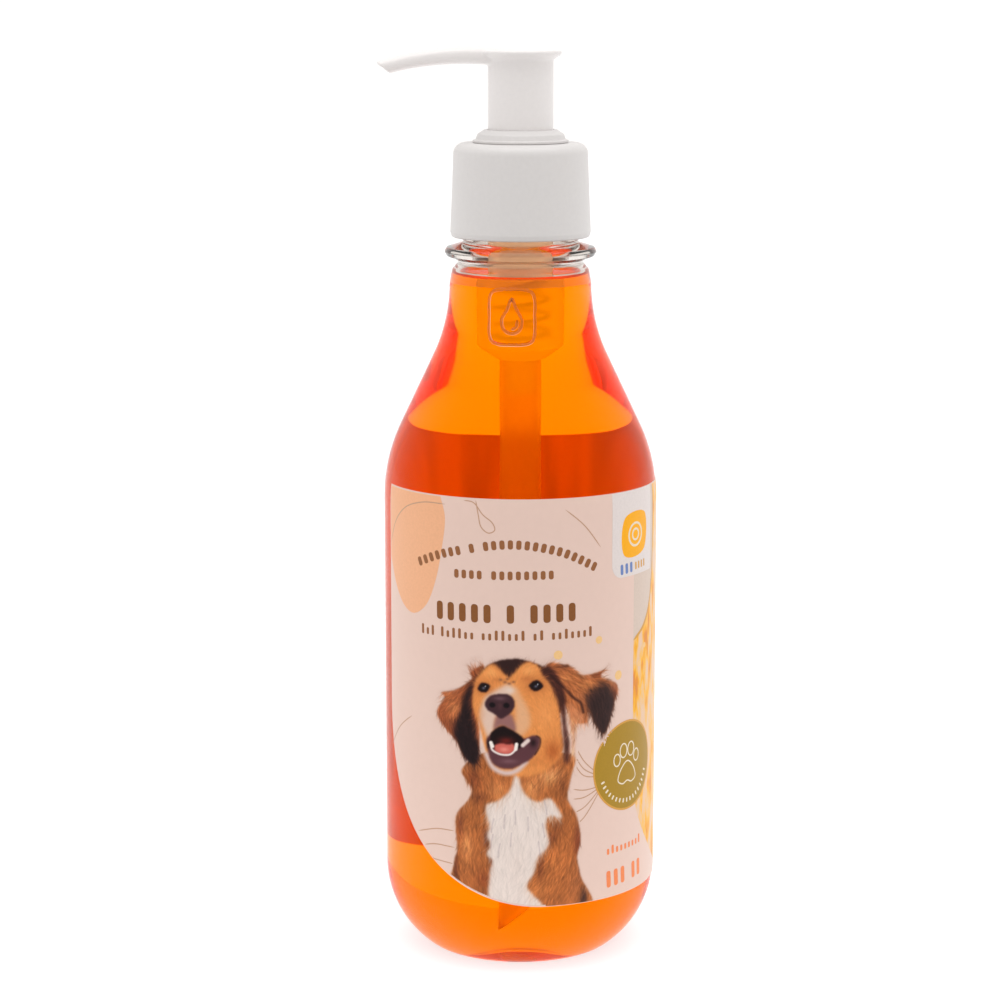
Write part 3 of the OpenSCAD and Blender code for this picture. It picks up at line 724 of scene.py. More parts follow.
def flat(*outlines):
    """Flat faces in X and Z, facing forwards, from outlines of (round, height) points."""
    shape = bmesh.new()
    for outline in outlines:
        face = shape.faces.new([shape.verts.new((x, 0, z)) for x, z in outline])
        face.normal_update()
        if face.normal.y > 0:
            face.normal_flip()
    return shape


def ink(name, code, gloss=0.34, spread=0.03, grain=0.5):
    """Printing ink of one colour on film, with a faint uneven lay-down."""
    made = material(name)
    where = add(made, "ShaderNodeTexCoord")
    noise = add(made, "ShaderNodeTexNoise", {
        "Vector": where.outputs["Object"], "Scale": 1 / (grain * MM), "Detail": 2,
    })
    tone = add(made, "ShaderNodeMapRange", {
        "Value": noise.outputs["Fac"], "From Min": 0.3, "From Max": 0.7,
        "To Min": 1 - spread, "To Max": 1 + spread,
    })
    shade = add(made, "ShaderNodeHueSaturation", {"Color": srgb(code), "Value": tone.outputs["Result"]})
    shader = add(made, "ShaderNodeBsdfPrincipled", {
        "Base Color": shade.outputs["Color"], "Roughness": gloss, "IOR": 1.49, "Specular IOR Level": 0.14,
    })
    add(made, "ShaderNodeOutputMaterial", {"Surface": shader.outputs["BSDF"]})
    return made


# Printed film: a flat pale pink lacquered ground. Behind it the bare film is a streaky grey with an orange
# glow: painted light, emission that stands in for the light that reaches it through the shampoo.
ground_code = "#E4C8BC"
label_ground = ink("pale pink lacquered film", ground_code, spread=0.008, grain=1.5)
film_back = material("bare white film")
film_place = add(film_back, "ShaderNodeTexCoord")
film_drawn = add(film_back, "ShaderNodeMapping", {
    "Vector": film_place.outputs["Object"], "Scale": (1, 1, 0.1),
})
streaks = add(film_back, "ShaderNodeTexNoise", {
    "Vector": film_drawn.outputs["Vector"], "Scale": 1 / (4 * MM), "Detail": 3,
})
dark_streak, pale_streak = 0.35, 0.62
film_tone = add(film_back, "ShaderNodeValToRGB", {"Fac": streaks.outputs["Fac"]})
for stop, share, code in zip(film_tone.color_ramp.elements, (dark_streak, pale_streak),
                             ("#9C9895", "#C6C3C1")):
    stop.position = share
    stop.color = srgb(code)
# Painted light: the film's emission, stronger along its pale streaks.
painted_film_glow = add(film_back, "ShaderNodeMapRange", {
    "Value": streaks.outputs["Fac"], "From Min": dark_streak, "From Max": pale_streak,
    "To Min": 0.14, "To Max": 0.27,
})
film_shader = add(film_back, "ShaderNodeBsdfPrincipled", {
    "Base Color": film_tone.outputs["Color"], "Roughness": 0.5, "IOR": 1.49, "Specular IOR Level": 0.4,
    "Emission Color": srgb("#FFBC00"), "Emission Strength": painted_film_glow.outputs["Result"],
})
add(film_back, "ShaderNodeOutputMaterial", {"Surface": film_shader.outputs["BSDF"]})

corner = arc(label_left + corner_r, label_bottom + corner_r, corner_r, math.pi, 1.5 * math.pi, step=0.04)
film_shape = flat(corner + [(label_right, label_bottom), (label_right, label_top), (label_left, label_top)])
sliced(film_shape)
deep = bmesh.ops.extrude_face_region(film_shape, geom=film_shape.faces[:], use_keep_orig=True)
deep_verts = [v for v in deep["geom"] if isinstance(v, bmesh.types.BMVert)]
bmesh.ops.translate(film_shape, verts=deep_verts, vec=(0, film_out - film_in, 0))
bmesh.ops.recalc_face_normals(film_shape, faces=film_shape.faces)
for face in film_shape.faces:
    face.material_index = 1 if face.normal.y > 0.5 else 0
piece("printed_label", wrapped(film_shape, film_out), [label_ground, film_back], "bottle_body",
      ["label"])

# ---------- label artwork ----------
# Flat printed shapes: a peach blot, fine brown and gold line-work, a badge with a paw, and
# rows of small bars where a real label has its words. Each lies a few microns above the film.

layer_rise = 0.005


def printed(name, outlines, print_ink, layer):
    """Prints outlines on the label in one ink, so many layers above the film."""
    shape = flat(*outlines)
    bmesh.ops.triangulate(shape, faces=shape.faces)
    sliced(shape)
    piece(name, wrapped(shape, film_out + layer_rise * layer), [print_ink], "bottle_body")


def curve(points, closed=False, steps=8):
    """A smooth line through a few (round, height) points."""
    count = len(points)
    line = []
    for i in range(count if closed else count - 1):
        near = [(i + k) % count if closed else min(max(i + k, 0), count - 1) for k in (-1, 0, 1, 2)]
        a, b, c, d = (Vector(points[k]) for k in near)
        for j in range(steps):
            t = j / steps
            bend = (c - a) * t + (2 * a - 5 * b + 4 * c - d) * t ** 2 + (3 * b - a - 3 * c + d) * t ** 3
            line.append(tuple(b + bend / 2))
    return line if closed else line + [tuple(points[-1])]


def band(line, width, closed=False):
    """The small quads of a pen line of that width, with pointed ends where it isn't closed."""
    point_l = 3
    count = len(line)
    sides = []
    for i, spot in enumerate(line):
        before = line[i - 1] if closed else line[max(i - 1, 0)]
        after = line[(i + 1) % count] if closed else line[min(i + 1, count - 1)]
        along = (Vector(after) - Vector(before)).normalized()
        taper = 1 if closed else min(1, (i + 0.5) / point_l, (count - 0.5 - i) / point_l)
        out = Vector((-along.y, along.x)) * width / 2 * taper
        sides.append((tuple(Vector(spot) + out), tuple(Vector(spot) - out)))
    following = sides[1:] + (sides[:1] if closed else [])
    return [[*ends, *next_ends[::-1]] for ends, next_ends in zip(sides, following)]


def disc(x, z, radius, tall=1.0, sides=28):
    """The outline of a disc, or of an oval that is tall times as high as it is wide."""
    angles = [2 * math.pi * i / sides for i in range(sides)]
    return [(x + radius * math.cos(a), z + radius * tall * math.sin(a)) for a in angles]


def bar(x, z, width, height, turn=0.0):
    """The outline of a bar with round corners about its middle, turned by an angle."""
    size = min(width, height) * 0.42
    w, h = width / 2, height / 2
    corners = rounded((-w, -h, size), (w, -h, size), (w, h, size), (-w, h, size), steps=3)
    c, s = math.cos(turn), math.sin(turn)
    return [(x + px * c - pz * s, z + px * s + pz * c) for px, pz in corners]


chance = np.random.default_rng(7)


def word_bars(line, words, height, weight, lower=False):
    """Small upright bars along a line, in groups as long as words. No letters are drawn."""
    word_gap, low = 0.8, 0.68
    spots = [Vector(p) for p in line]
    lengths = [0]
    for a, b in zip(spots, spots[1:]):
        lengths.append(lengths[-1] + (b - a).length)
    total = sum(words) + word_gap * (len(words) - 1)
    bars = []
    place_along = 0.5
    for letters in words:
        for _ in range(letters):
            reach = lengths[-1] * place_along / total
            k = min(int(np.searchsorted(lengths, reach)), len(spots) - 1) or 1
            share = (reach - lengths[k - 1]) / (lengths[k] - lengths[k - 1])
            spot = spots[k - 1].lerp(spots[k], share)
            along = spots[k] - spots[k - 1]
            tall = height * (chance.choice([low, low, 1.0]) if lower else 1)
            shift = (tall - height) / 2
            turn = math.atan2(along.y, along.x)
            bars.append(bar(spot.x - shift * math.sin(turn), spot.y + shift * math.cos(turn),
                            lengths[-1] / total * weight, tall, turn))
            place_along += 1
        place_along += word_gap
    return bars


# Printing inks: flat solid colours, slightly glossy under the lacquer.
peach_ink = ink("peach printing ink", "#EDB28A")
fine_ink = ink("soft brown printing ink", "#C29A80")
brown_ink = ink("brown printing ink", "#95623F")
dark_brown_ink = ink("dark brown printing ink", "#87552F")
gold_ink = ink("gold printing ink", "#D39B48", gloss=0.28)
pale_gold_ink = ink("pale gold printing ink", "#EFC489")
olive_ink = ink("olive printing ink", "#A9852B")
cream_ink = ink("cream printing ink", "#EADCC4")
panel_ink = ink("pale lilac printing ink", "#E0D6D3")
amber_ink = ink("amber printing ink", "#F9AE10")
slate_ink = ink("slate blue printing ink", "#6F86BC")
orange_ink = ink("orange printing ink", "#F08A58")

art_top = 104.9
blot = curve([
    (-18.3, art_top), (-17.0, 100.5), (-17.8, 94), (-19.4, 87), (-22, 81.2), (-26, 78.5),
    (-30, 79.8), (-33.6, 84), (-36.3, 89.5),
])
printed("peach_blot", [blot + [(-36.4, art_top)]], peach_ink, 1)
arcs = [
    curve([(-36.2, 92.5), (-33.5, 97.5), (-29, 101.3), (-23, 103.2), (-17, 103.4)]),
    curve([
        (-12.5, 104.6), (-10.2, 104.2), (-8.2, 101.8), (-6.2, 100.2), (-5.6, 98.6), (-7, 97.9),
        (-8.6, 99.2), (-9.2, 101.8), (-9.8, 104.8),
    ]),
    curve([(-36.2, 47), (-32, 52), (-27, 55.5)]),
    curve([(9.5, 102.8), (14, 99), (18, 94)]),
]
petals = []
for k in (-0.4, 0.1, 0.7):
    petals.append(curve([(18.6, 43.5), (14, 45.5 + 3 * k), (11.2 - 0.5 * k, 50 + 5.2 * k)]))
for k in (0, 0.5, 1.2, 1.9):
    petals.append(curve([(18.9, 41.5), (14.5, 41 - 3 * k), (11.6, 41.5 - 4.4 * k)]))
for k in (0, 0.6, 1.2):
    petals.append(curve([(-14.8, 31.8 - 6.2 * k), (-19.5, 31.6 - 5.8 * k), (-25 + 3.5 * k, 30 - 4.4 * k)]))
printed("fine_line_work", [quad for line in arcs + petals for quad in band(line, 0.24)], fine_ink, 2)

arched = curve([(-24.8, 89.9), (-15.8, 93.2), (-2.8, 95.5), (8.3, 93.8), (17.1, 89.6)])
small_words = word_bars(arched, (7, 1, 15), 2.0, 0.62)
small_words += word_bars([(-15.1, 88.7), (7.3, 88.9)], (4, 8), 1.9, 0.6)
printed("small_word_bars", small_words, brown_ink, 3)
bold_words = word_bars([(-19.8, 80.3), (12.5, 80.6)], (5, 1, 4), 4.0, 0.56)
printed("bold_word_bars", bold_words, dark_brown_ink, 3)
thin_words = word_bars([(-23.9, 75.6), (16.2, 76.0)], (3, 6, 7, 2, 7), 2.2, 0.45, lower=True)
printed("thin_word_bars", thin_words, brown_ink, 3)
volume_words = word_bars([(19.9, 26.4), (32.2, 26.8)], (9,), 2.0, 0.5, lower=True)
volume_words += word_bars([(19.7, 19.8), (32.4, 20.4)], (3, 2), 3.8, 0.56)
printed("volume_bars", volume_words, orange_ink, 3)

panel_left, panel_right, panel_low, panel_top, panel_round = 21.2, 36.6, 86.5, 105.1, 3
panel = [(panel_left, panel_top)]
panel += arc(panel_left + panel_round, panel_low + panel_round, panel_round, math.pi, 1.5 * math.pi, 0.3)
panel += [(panel_right, panel_low), (panel_right, panel_top)]
printed("seal_panel", [panel], panel_ink, 4)
printed("amber_tile", [curve([(24.9, 91.2), (32.9, 91.8), (33.1, 99.6), (25.1, 99.4)], closed=True)],
        amber_ink, 5)
tile_rings = []
for ring_size, ring_line in ((2.5, 0.5), (1.2, 0.45)):
    tile_rings += band(disc(29, 95.4, ring_size), ring_line, closed=True)
printed("tile_rings", tile_rings, cream_ink, 6)
printed("slate_bars", word_bars([(23.4, 88.2), (28.2, 88.4)], (3,), 2.3, 0.55), slate_ink, 6)
printed("gold_bars", word_bars([(28.6, 88.4), (33.4, 88.6)], (4,), 1.7, 0.5), gold_ink, 6)

# Honey picture at the right: pale amber with upright golden runs, under a beige arch.
honey_picture = material("printed honey picture")
honey_place = add(honey_picture, "ShaderNodeTexCoord")
stretch = add(honey_picture, "ShaderNodeMapping", {
    "Vector": honey_place.outputs["Object"], "Scale": (1, 1, 0.28),
})
runs = add(honey_picture, "ShaderNodeTexNoise", {
    "Vector": stretch.outputs["Vector"], "Scale": 1 / (2.4 * MM), "Detail": 3, "Roughness": 0.55,
})
honey = add(honey_picture, "ShaderNodeValToRGB", {"Fac": runs.outputs["Fac"]})
honey_stops = [(0.4, "#E6C3A8"), (0.49, "#EDBE7C"), (0.55, "#F8B62E"), (0.64, "#E58E2C"), (0.78, "#C68A5A")]
for share, code in honey_stops[1:-1]:
    honey.color_ramp.elements.new(share).color = srgb(code)
for end in (0, -1):
    honey.color_ramp.elements[end].position = honey_stops[end][0]
    honey.color_ramp.elements[end].color = srgb(honey_stops[end][1])
honey_shader = add(honey_picture, "ShaderNodeBsdfPrincipled", {
    "Base Color": honey.outputs["Color"], "Roughness": 0.34, "IOR": 1.49, "Specular IOR Level": 0.14,
})
add(honey_picture, "ShaderNodeOutputMaterial", {"Surface": honey_shader.outputs["BSDF"]})

beige_ink = ink("beige printing ink", "#D6C3B6")
honey_left, honey_right, honey_low = 28.5, 62, 16.2
arch = curve([(honey_left, 72), (33, 74.6), (36.4, 79.5), (38.1, 87), (38.5, 96), (38.2, art_top)])
printed("beige_panel", [[(honey_left, art_top)] + arch], beige_ink, 1)
lower_edge = curve([(honey_left, 40), (30.5, 33), (35, 26), (42, 19.5), (50, honey_low)])
honey_outline = arch + [(honey_right, art_top), (honey_right, honey_low)] + lower_edge[::-1]
printed("honey_picture", [honey_outline], honey_picture, 2)
printed("gold_arch_line", band(arch, 0.7), gold_ink, 4)
dots = ((17.7, 73.8, 0.85), (8.0, 71.4, 1.0), (23.3, 65.2, 1.05), (31, 66.5, 0.8), (33.5, 70, 0.6))
printed("gold_dots", [disc(*dot) for dot in dots], pale_gold_ink, 3)

badge_x, badge_z, badge_r, tick_r = 26.4, 44.6, 9.6, 7.9
paw_line, tick_count = 0.3, 17
printed("badge_rim", [disc(badge_x, badge_z, badge_r + 0.45, sides=72)], gold_ink, 5)
printed("badge", [disc(badge_x, badge_z, badge_r, sides=72)], olive_ink, 6)
toes = [(-3.3, 1.6, 1.0), (-1.2, 3.4, 1.15), (1.4, 3.4, 1.15), (3.5, 1.6, 1.0)]
paw = []
for x, z, r in toes:
    paw += band(disc(badge_x + x, badge_z + z, r, tall=1.35), paw_line, closed=True)
pad_line = curve([
    (0.1, 0.9), (2.2, -0.6), (3.2, -3.0), (1.7, -4.0), (0.1, -3.5), (-1.5, -4.0), (-3.0, -3.0),
    (-2.0, -0.6),
], closed=True)
paw += band([(badge_x + x, badge_z + z) for x, z in pad_line], paw_line, closed=True)
for k in range(tick_count):
    angle = math.radians(200 + 140 * k / (tick_count - 1))
    tick_x, tick_z = badge_x + tick_r * math.cos(angle), badge_z + tick_r * math.sin(angle)
    paw.append(bar(tick_x, tick_z, 0.45, 1.0, angle + math.pi / 2))
printed("badge_paw", paw, cream_ink, 7)

# The back panel: rows of fine bars where the directions are, and a second peach blot.
back_x = math.pi * body_r
back_half, back_row_top, back_row_gap = 27, 96, 3.1
back_rows = []
for i in range(22):
    height = back_row_top - i * back_row_gap
    short = i % 5 == 4
    start = back_x - back_half
    while start < back_x + (6 if short else back_half):
        length = float(chance.uniform(2.5, 8))
        if start < back_x or not short:
            back_rows.append(bar(start + length / 2, height, length, 0.9))
        start += length + 1.2
printed("direction_bars", back_rows, fine_ink, 3)
back_blot = curve([
    (back_x - 30, 24), (back_x - 20, 18), (back_x, 17.5), (back_x + 14, 20), (back_x + 10, 26),
    (back_x - 8, 29), (back_x - 24, 29),
], closed=True)
printed("back_blot", [back_blot], peach_ink, 1)

# ---------- dog picture ----------
# A printed portrait of a tan, brown and black dog. It is painted in code on a fine grid: soft
# shapes first, then thousands of hair strokes that follow the coat.

cell = 0.16
dog_left, dog_right, dog_low, dog_high = -20.8, 24.2, 15.84, 72
columns = round((dog_right - dog_left) / cell)
rows = round((dog_high - dog_low) / cell)
across_mm, up_mm = np.meshgrid(dog_left + cell * np.arange(columns + 1),
                               dog_low + cell * np.arange(rows + 1))
ground = shares_of(ground_code)
picture = np.tile(ground, (rows + 1, columns + 1, 1))
cover = np.zeros((rows + 1, columns + 1))


def blurred(values, soft):
    """The grid of values with a soft blur of that size in millimetres."""
    reach = max(1, math.ceil(2.5 * soft / cell))
    weights = np.exp(-0.5 * (np.arange(-reach, reach + 1) * cell / soft) ** 2)
    weights /= weights.sum()
    for axis in (0, 1):
        padded = np.pad(values, [(reach, reach) if axis == k else (0, 0) for k in (0, 1)], mode="edge")
        length = values.shape[axis]
        values = sum(w * np.take(padded, range(i, i + length), axis=axis) for i, w in enumerate(weights))
    return values


def region(points, soft=0.25):
    """How far each grid point lies inside a smooth loop, from 0 to 1, with a soft edge."""
    loop = curve(points, closed=True, steps=6)
    inside = np.zeros(across_mm.shape, bool)
    for (x0, z0), (x1, z1) in zip(loop, loop[1:] + loop[:1]):
        if z0 != z1:
            crossing = (x1 - x0) * (up_mm - z0) / (z1 - z0) + x0
            inside ^= ((z0 > up_mm) != (z1 > up_mm)) & (across_mm < crossing)
    return blurred(inside.astype(float), soft)


def spot_of(x, z, wide, tall, soft=1.0):
    """An oval spot, 1 in its middle; soft 1 fades all the way, and near 0 has a crisp edge."""
    away = np.hypot((across_mm - x) / wide, (up_mm - z) / tall)
    return np.clip((1 - away) / soft, 0, 1) if soft < 1 else np.exp(-2 * away ** 2)


def trace(points, width, soft=0.12):
    """A soft line through a few points."""
    line = np.array(curve(points, steps=10))
    near = np.full(across_mm.shape, 99.0)
    for x, z in line:
        near = np.minimum(near, np.hypot(across_mm - x, up_mm - z))
    return np.clip((width / 2 + soft - near) / (2 * soft), 0, 1)


def lay(mask, code, strength=1.0):
    """Paints a colour over the picture through a mask."""
    share = (mask * strength)[..., None]
    picture[:] = picture * (1 - share) + shares_of(code) * share


def dab(area, *spots):
    """Paints soft spots inside an area, each (round, height, half width, half height, colour, strength)."""
    for x, z, wide, tall, code, strength in spots:
        lay(spot_of(x, z, wide, tall) * area, code, strength)


# How the coat lies: (round, height, direction in degrees, reach) of a few tufts.
coat = [
    (-2.6, 67, 90, 2.5), (-7, 68, 120, 2.5), (2.5, 69, 60, 2.5), (-9.5, 62, 250, 2),
    (6.5, 62, 290, 3), (-9, 56, 258, 2.5), (6.5, 56, 285, 3), (4.5, 51, 300, 2.5),
    (-7, 58, 240, 1.5), (0, 60, 320, 2), (-11.5, 58, 265, 2), (-15.5, 60, 215, 2.5),
    (-15.5, 55, 300, 3), (-12, 50, 285, 2.5), (10, 67, 330, 2.5), (14, 64, 320, 2.5),
    (18.5, 66, 30, 1.6), (20, 61, 285, 3), (18.5, 56, 270, 3), (11.5, 58, 270, 2.5),
    (11, 51, 268, 2.5), (-11, 44, 285, 3), (-6, 43, 275, 3), (2, 44, 270, 2.5), (8, 44, 235, 3),
    (-10, 38, 262, 3), (9, 39, 280, 3), (-3.5, 38, 250, 3), (3.5, 38, 290, 3), (0, 30, 270, 5),
    (-12, 31, 265, 4), (-10, 23, 280, 4), (10, 30, 265, 4), (6, 22, 235, 4), (11, 20, 262, 4),
]


def hair(mask, count, length, width, low, high, curl=0.25, strength=1.0, spill=True):
    """Draws tapered hairs that start inside a mask, in the colour under them made darker or lighter."""
    zi, xi = np.nonzero(mask > 0.5)
    pick = chance.integers(0, len(zi), count)
    x, z = across_mm[zi[pick], xi[pick]], up_mm[zi[pick], xi[pick]]
    reach = np.array([t[3] for t in coat])
    away = (x[:, None] - [t[0] for t in coat]) ** 2 + (z[:, None] - [t[1] for t in coat]) ** 2
    pull = np.exp(-away / reach ** 2 / 2) + 1e-9
    lie = np.radians([t[2] for t in coat])
    angle = np.arctan2((pull * np.sin(lie)).sum(1), (pull * np.cos(lie)).sum(1))
    angle += chance.normal(0, 0.22, count)
    bend = chance.normal(0, curl, count)
    size = length * chance.uniform(0.6, 1.3, count)
    tone = chance.uniform(low, high, count)
    colour = np.clip(picture[zi[pick], xi[pick]] * tone[:, None], 0, 1)
    total = np.zeros(across_mm.shape)
    mixed = np.zeros(picture.shape)
    steps = max(4, math.ceil(1.6 * length / cell))
    for k in range(steps):
        share = k / (steps - 1)
        turn = angle + bend * share
        px = x + size * share * np.cos(turn)
        pz = z + size * share * np.sin(turn)
        thick = width * (1 - share) ** 0.7 * min(1, 0.4 + 3 * share)
        column, row = (px - dog_left) / cell, (pz - dog_low) / cell
        left_of, below = np.floor(column).astype(int), np.floor(row).astype(int)
        for dx in (0, 1):
            for dz in (0, 1):
                cx, cz = left_of + dx, below + dz
                fits = (cx >= 0) & (cx <= columns) & (cz >= 0) & (cz <= rows)
                part = (1 - np.abs(column - cx)) * (1 - np.abs(row - cz)) * thick
                np.add.at(total, (cz[fits], cx[fits]), part[fits])
                np.add.at(mixed, (cz[fits], cx[fits]), part[fits, None] * colour[fits])
    share = (1 - np.exp(-total * strength))[..., None]
    picture[:] = picture * (1 - share) + mixed / np.maximum(total, 1e-6)[..., None] * share
    if spill:
        cover[:] = np.maximum(cover, np.clip(share[..., 0] * 1.2, 0, 1))


coat_area = region([
    (-13.0, 46.1), (-12.2, 43.6), (-10.8, 41.9), (-11.6, 39.3), (-14.6, 35.1), (-14.3, 27.9),
    (-15.1, 24.5), (-15.5, 12.3), (15.1, 12.4), (13.4, 22.1), (12.6, 26.3), (13.4, 30.3),
    (12.4, 35.7), (10.3, 39.7), (11.1, 44.3), (11.7, 49.2), (4.7, 50.3), (-7.7, 50.1),
], 0.2)
ear_left = region([
    (-8.0, 69.3), (-11.1, 67.5), (-10.9, 66.0), (-14.3, 63.5), (-18.3, 62.2), (-17.3, 61.2),
    (-19.4, 57.7), (-17.0, 54.3), (-14.7, 52.3), (-12.8, 48.8), (-10.4, 47.3), (-8.9, 49.4),
    (-9.0, 60.5), (-8, 66),
], 0.2)
ear_right = region([
    (6.0, 69.9), (9.2, 69.4), (10.4, 69.2), (13.2, 66.8), (16.1, 66.7), (19.7, 67.1), (18.3, 65.7),
    (23.0, 63.2), (22.1, 59.0), (19.6, 52.8), (17.2, 54.3), (15.1, 58.0), (14.7, 55.8),
    (11.4, 56.4), (9.6, 60.0), (6, 62), (5, 68.0),
], 0.2)
skull = region([
    (-9.2, 66.5), (-7.7, 68.9), (-4.9, 70.4), (-1.0, 70.9), (1.8, 70.4), (4.6, 69.2), (7.2, 67.1),
    (9.4, 61), (7, 58), (-2.6, 62), (-9, 60),
], 0.2)
dog_face = region([
    (-8.9, 67.0), (-7.4, 68.9), (-5.7, 69.5), (-2.6, 67.1), (0.7, 69.9), (3.2, 69.5), (6.3, 65.4),
    (8.1, 61.6), (9.0, 54.9), (9.3, 50.6), (6.4, 47.0), (1.9, 45.1), (-2.6, 45.6), (-6.0, 47.0),
    (-7.8, 50.7), (-9.0, 55.8), (-10.5, 60.5), (-9.9, 65.5),
], 0.25)
blaze = region([
    (-1.2, 45.6), (-2.2, 42.0), (-4.9, 39.4), (-7.5, 38.2), (-6.6, 33.9), (-7.2, 31.8),
    (-6.4, 29.6), (-7.3, 27.4), (-5.9, 26.1), (-6.6, 23.1), (-6.0, 14.9), (4.8, 15.0), (1.2, 20.4),
    (2.8, 23.6), (3.6, 27.1), (6.0, 29.9), (5.1, 34.3), (6.4, 36.3), (8.9, 35.5), (6.4, 39.8),
    (3.9, 39.2), (1.6, 40.2), (0.1, 42.3), (-0.6, 45.2),
], 0.3)
cover[:] = np.maximum.reduce([coat_area, ear_left, ear_right, skull, dog_face])

# Neck, shoulders and chest.
lay(coat_area, "#A86032")
dab(coat_area,
    (-4.9, 42.5, 3.2, 3.4, "#D6824A", 1.0), (2.2, 42.5, 3.0, 3.0, "#DE8C52", 1.0),
    (6.5, 45.5, 4.0, 2.2, "#E49860", 1.0), (9.5, 43, 1.6, 4, "#784224", 0.8),
    (-10.5, 44.5, 2.4, 3.4, "#783C22", 0.9), (-9.2, 40.4, 2.6, 1.4, "#5F301E", 0.8),
    (-11.9, 29.5, 1.8, 4.2, "#D8864E", 1.0), (-13.4, 34, 1.2, 4, "#703824", 0.7),
    (-7.4, 31.5, 1.2, 3.2, "#583228", 0.8), (-8, 22, 2.6, 3, "#803E22", 0.8),
    (8, 33.8, 2.2, 2.0, "#784024", 0.8), (8.5, 27, 3.6, 6, "#BE6C38", 1.0),
    (4, 20, 2.8, 3.0, "#C4743E", 1.0), (12.6, 30.5, 1.2, 4.5, "#743622", 0.8),
    (12, 20.5, 2.0, 5, "#AC643A", 0.7), (14.2, 17, 1.2, 3.2, "#3A2420", 1.0),
    (-14.6, 24, 0.9, 8, "#602E1C", 0.8), (13.2, 27, 0.8, 7, "#5C2C1E", 0.8),
    (-6.3, 26, 1.0, 5, "#5C2C1E", 0.7), (4.4, 25, 1.0, 4, "#683420", 0.7),
    (6.8, 31.5, 1.6, 1.4, "#602E1E", 0.7))
lay(blaze, "#E6D6CE")
dab(blaze, (-0.4, 25, 3.0, 7, "#D6BEB2", 0.7))
hair(np.clip(coat_area - blaze, 0, 1), 3600, 2.6, 0.42, 0.55, 1.5)
hair(coat_area, 2600, 2.0, 0.3, 0.78, 1.25)
lay(blaze * 0.8, "#E8DAD2")
hair(blaze, 1500, 3.2, 0.28, 0.84, 1.06, spill=False)
chest_lines = [
    (-5.8, 34, -0.6), (-3.4, 35, -0.2), (-4.5, 28.5, -0.4), (-6, 30.5, -0.5), (4.6, 33, 0.5),
    (3.8, 29, 0.3), (5, 38, 0.6), (1.5, 34.5, 0.1), (-1.2, 36, 0), (-2, 31, -0.2),
]
for x, z, drift in chest_lines:
    lay(trace([(x, z + 1.4), (x + drift * 0.6, z), (x + drift, z - 1.6)], 0.12, 0.2), "#887884", 0.5)

# Ears, hanging at the left and blown out at the right.
lay(ear_left, "#8E4A2A")
dab(ear_left,
    (-14.5, 59.5, 2.6, 3.0, "#BE7042", 1.0), (-16, 62, 2.6, 0.9, "#B06238", 1.0),
    (-14.2, 54.5, 2.4, 3.0, "#602E20", 0.8))
ear_black = region([
    (-9.3, 66.9), (-12.0, 63.2), (-13.2, 59.0), (-15.2, 54.6), (-13.8, 51.0), (-11.9, 47.6),
    (-10.1, 47.2), (-8.9, 49.7), (-9.8, 54.8), (-10.7, 60.5), (-9.6, 65.5),
], 0.35)
lay(ear_black * np.clip(ear_left + skull, 0, 1), "#1A0E12", 0.95)
lay(ear_right, "#AA6036")
dab(ear_right,
    (9.5, 66.8, 3.4, 1.2, "#C47442", 1.0), (14.2, 64.6, 3.4, 1.0, "#CE7C46", 1.0),
    (12.4, 62, 1.6, 2.4, "#BC6E42", 1.0), (17.6, 66.2, 2.6, 0.9, "#804024", 1.0),
    (9, 69, 2.4, 0.7, "#542C22", 0.9))
ear_tip = region([
    (13.8, 62.6), (17.8, 64.4), (21.8, 62.6), (22.3, 59.0), (19.6, 52.6), (17.0, 54.3),
    (15.1, 58.0), (14.2, 60.6),
], 0.6)
lay(ear_tip * ear_right, "#26181A", 0.92)
dab(ear_right,
    (22.2, 62.6, 1.0, 1.8, "#80402C", 0.8), (12.6, 57.5, 2.0, 1.9, "#C48464", 0.85))
hair(ear_left, 1500, 2.6, 0.34, 0.5, 1.6)
hair(ear_right, 1800, 2.8, 0.34, 0.5, 1.6)

# Skull and face: a dark crown with a forelock between two tan brows, and tan cheeks.
lay(skull, "#3E221A")
hair(skull, 500, 1.6, 0.3, 0.6, 2.2)
lay(dog_face, "#E28E4C")
dab(dog_face,
    (5.0, 58.5, 3.0, 4.0, "#EA9654", 1.0), (6.8, 50.5, 2.6, 3.4, "#B8622E", 1.0),
    (3.6, 48.4, 3.0, 1.6, "#D68244", 1.0), (-9.2, 54.5, 1.0, 4.5, "#C4703A", 1.0),
    (-4.2, 69, 1.6, 1.2, "#BE6C3A", 0.5))
for x, z in ((-6.2, 67.4), (1.6, 68.2)):
    lay(spot_of(x, z, 2.0, 1.4) * dog_face, "#EE9E5A")
dab(dog_face,
    (-5.2, 66.0, 1.6, 0.9, "#C4743E", 0.7), (1.0, 66.4, 1.7, 0.8, "#BC6C3A", 0.7))
lay(region([(-4.9, 70.4), (-2.6, 70.9), (0.4, 70.6), (-1.6, 68.4), (-2.5, 66.6), (-3.6, 68.4)], 0.28),
    "#301A18")
band_right = region([
    (4.4, 69.2), (6.3, 68.8), (8.4, 65.9), (9.6, 61.5), (10.0, 56.3), (10.8, 51.6), (10.5, 48.1),
    (9.5, 48.2), (9.0, 53.5), (8.3, 59.9), (6.4, 64.8), (4.4, 67.5),
], 0.3)
cover[:] = np.maximum(cover, band_right)
lay(band_right, "#42201A", 0.92)
tuft = region([
    (9.9, 60.6), (12.0, 59.5), (13.2, 57.1), (12.3, 55.5), (11.9, 51.5), (11.9, 48.6), (11.0, 48.1),
    (10.9, 53.3),
], 0.4)
lay(tuft, "#C47A50", 0.9)
cover[:] = np.maximum(cover, tuft * 0.9)
hair(np.clip(dog_face - band_right, 0, 1), 2600, 1.5, 0.26, 0.82, 1.2, spill=False)
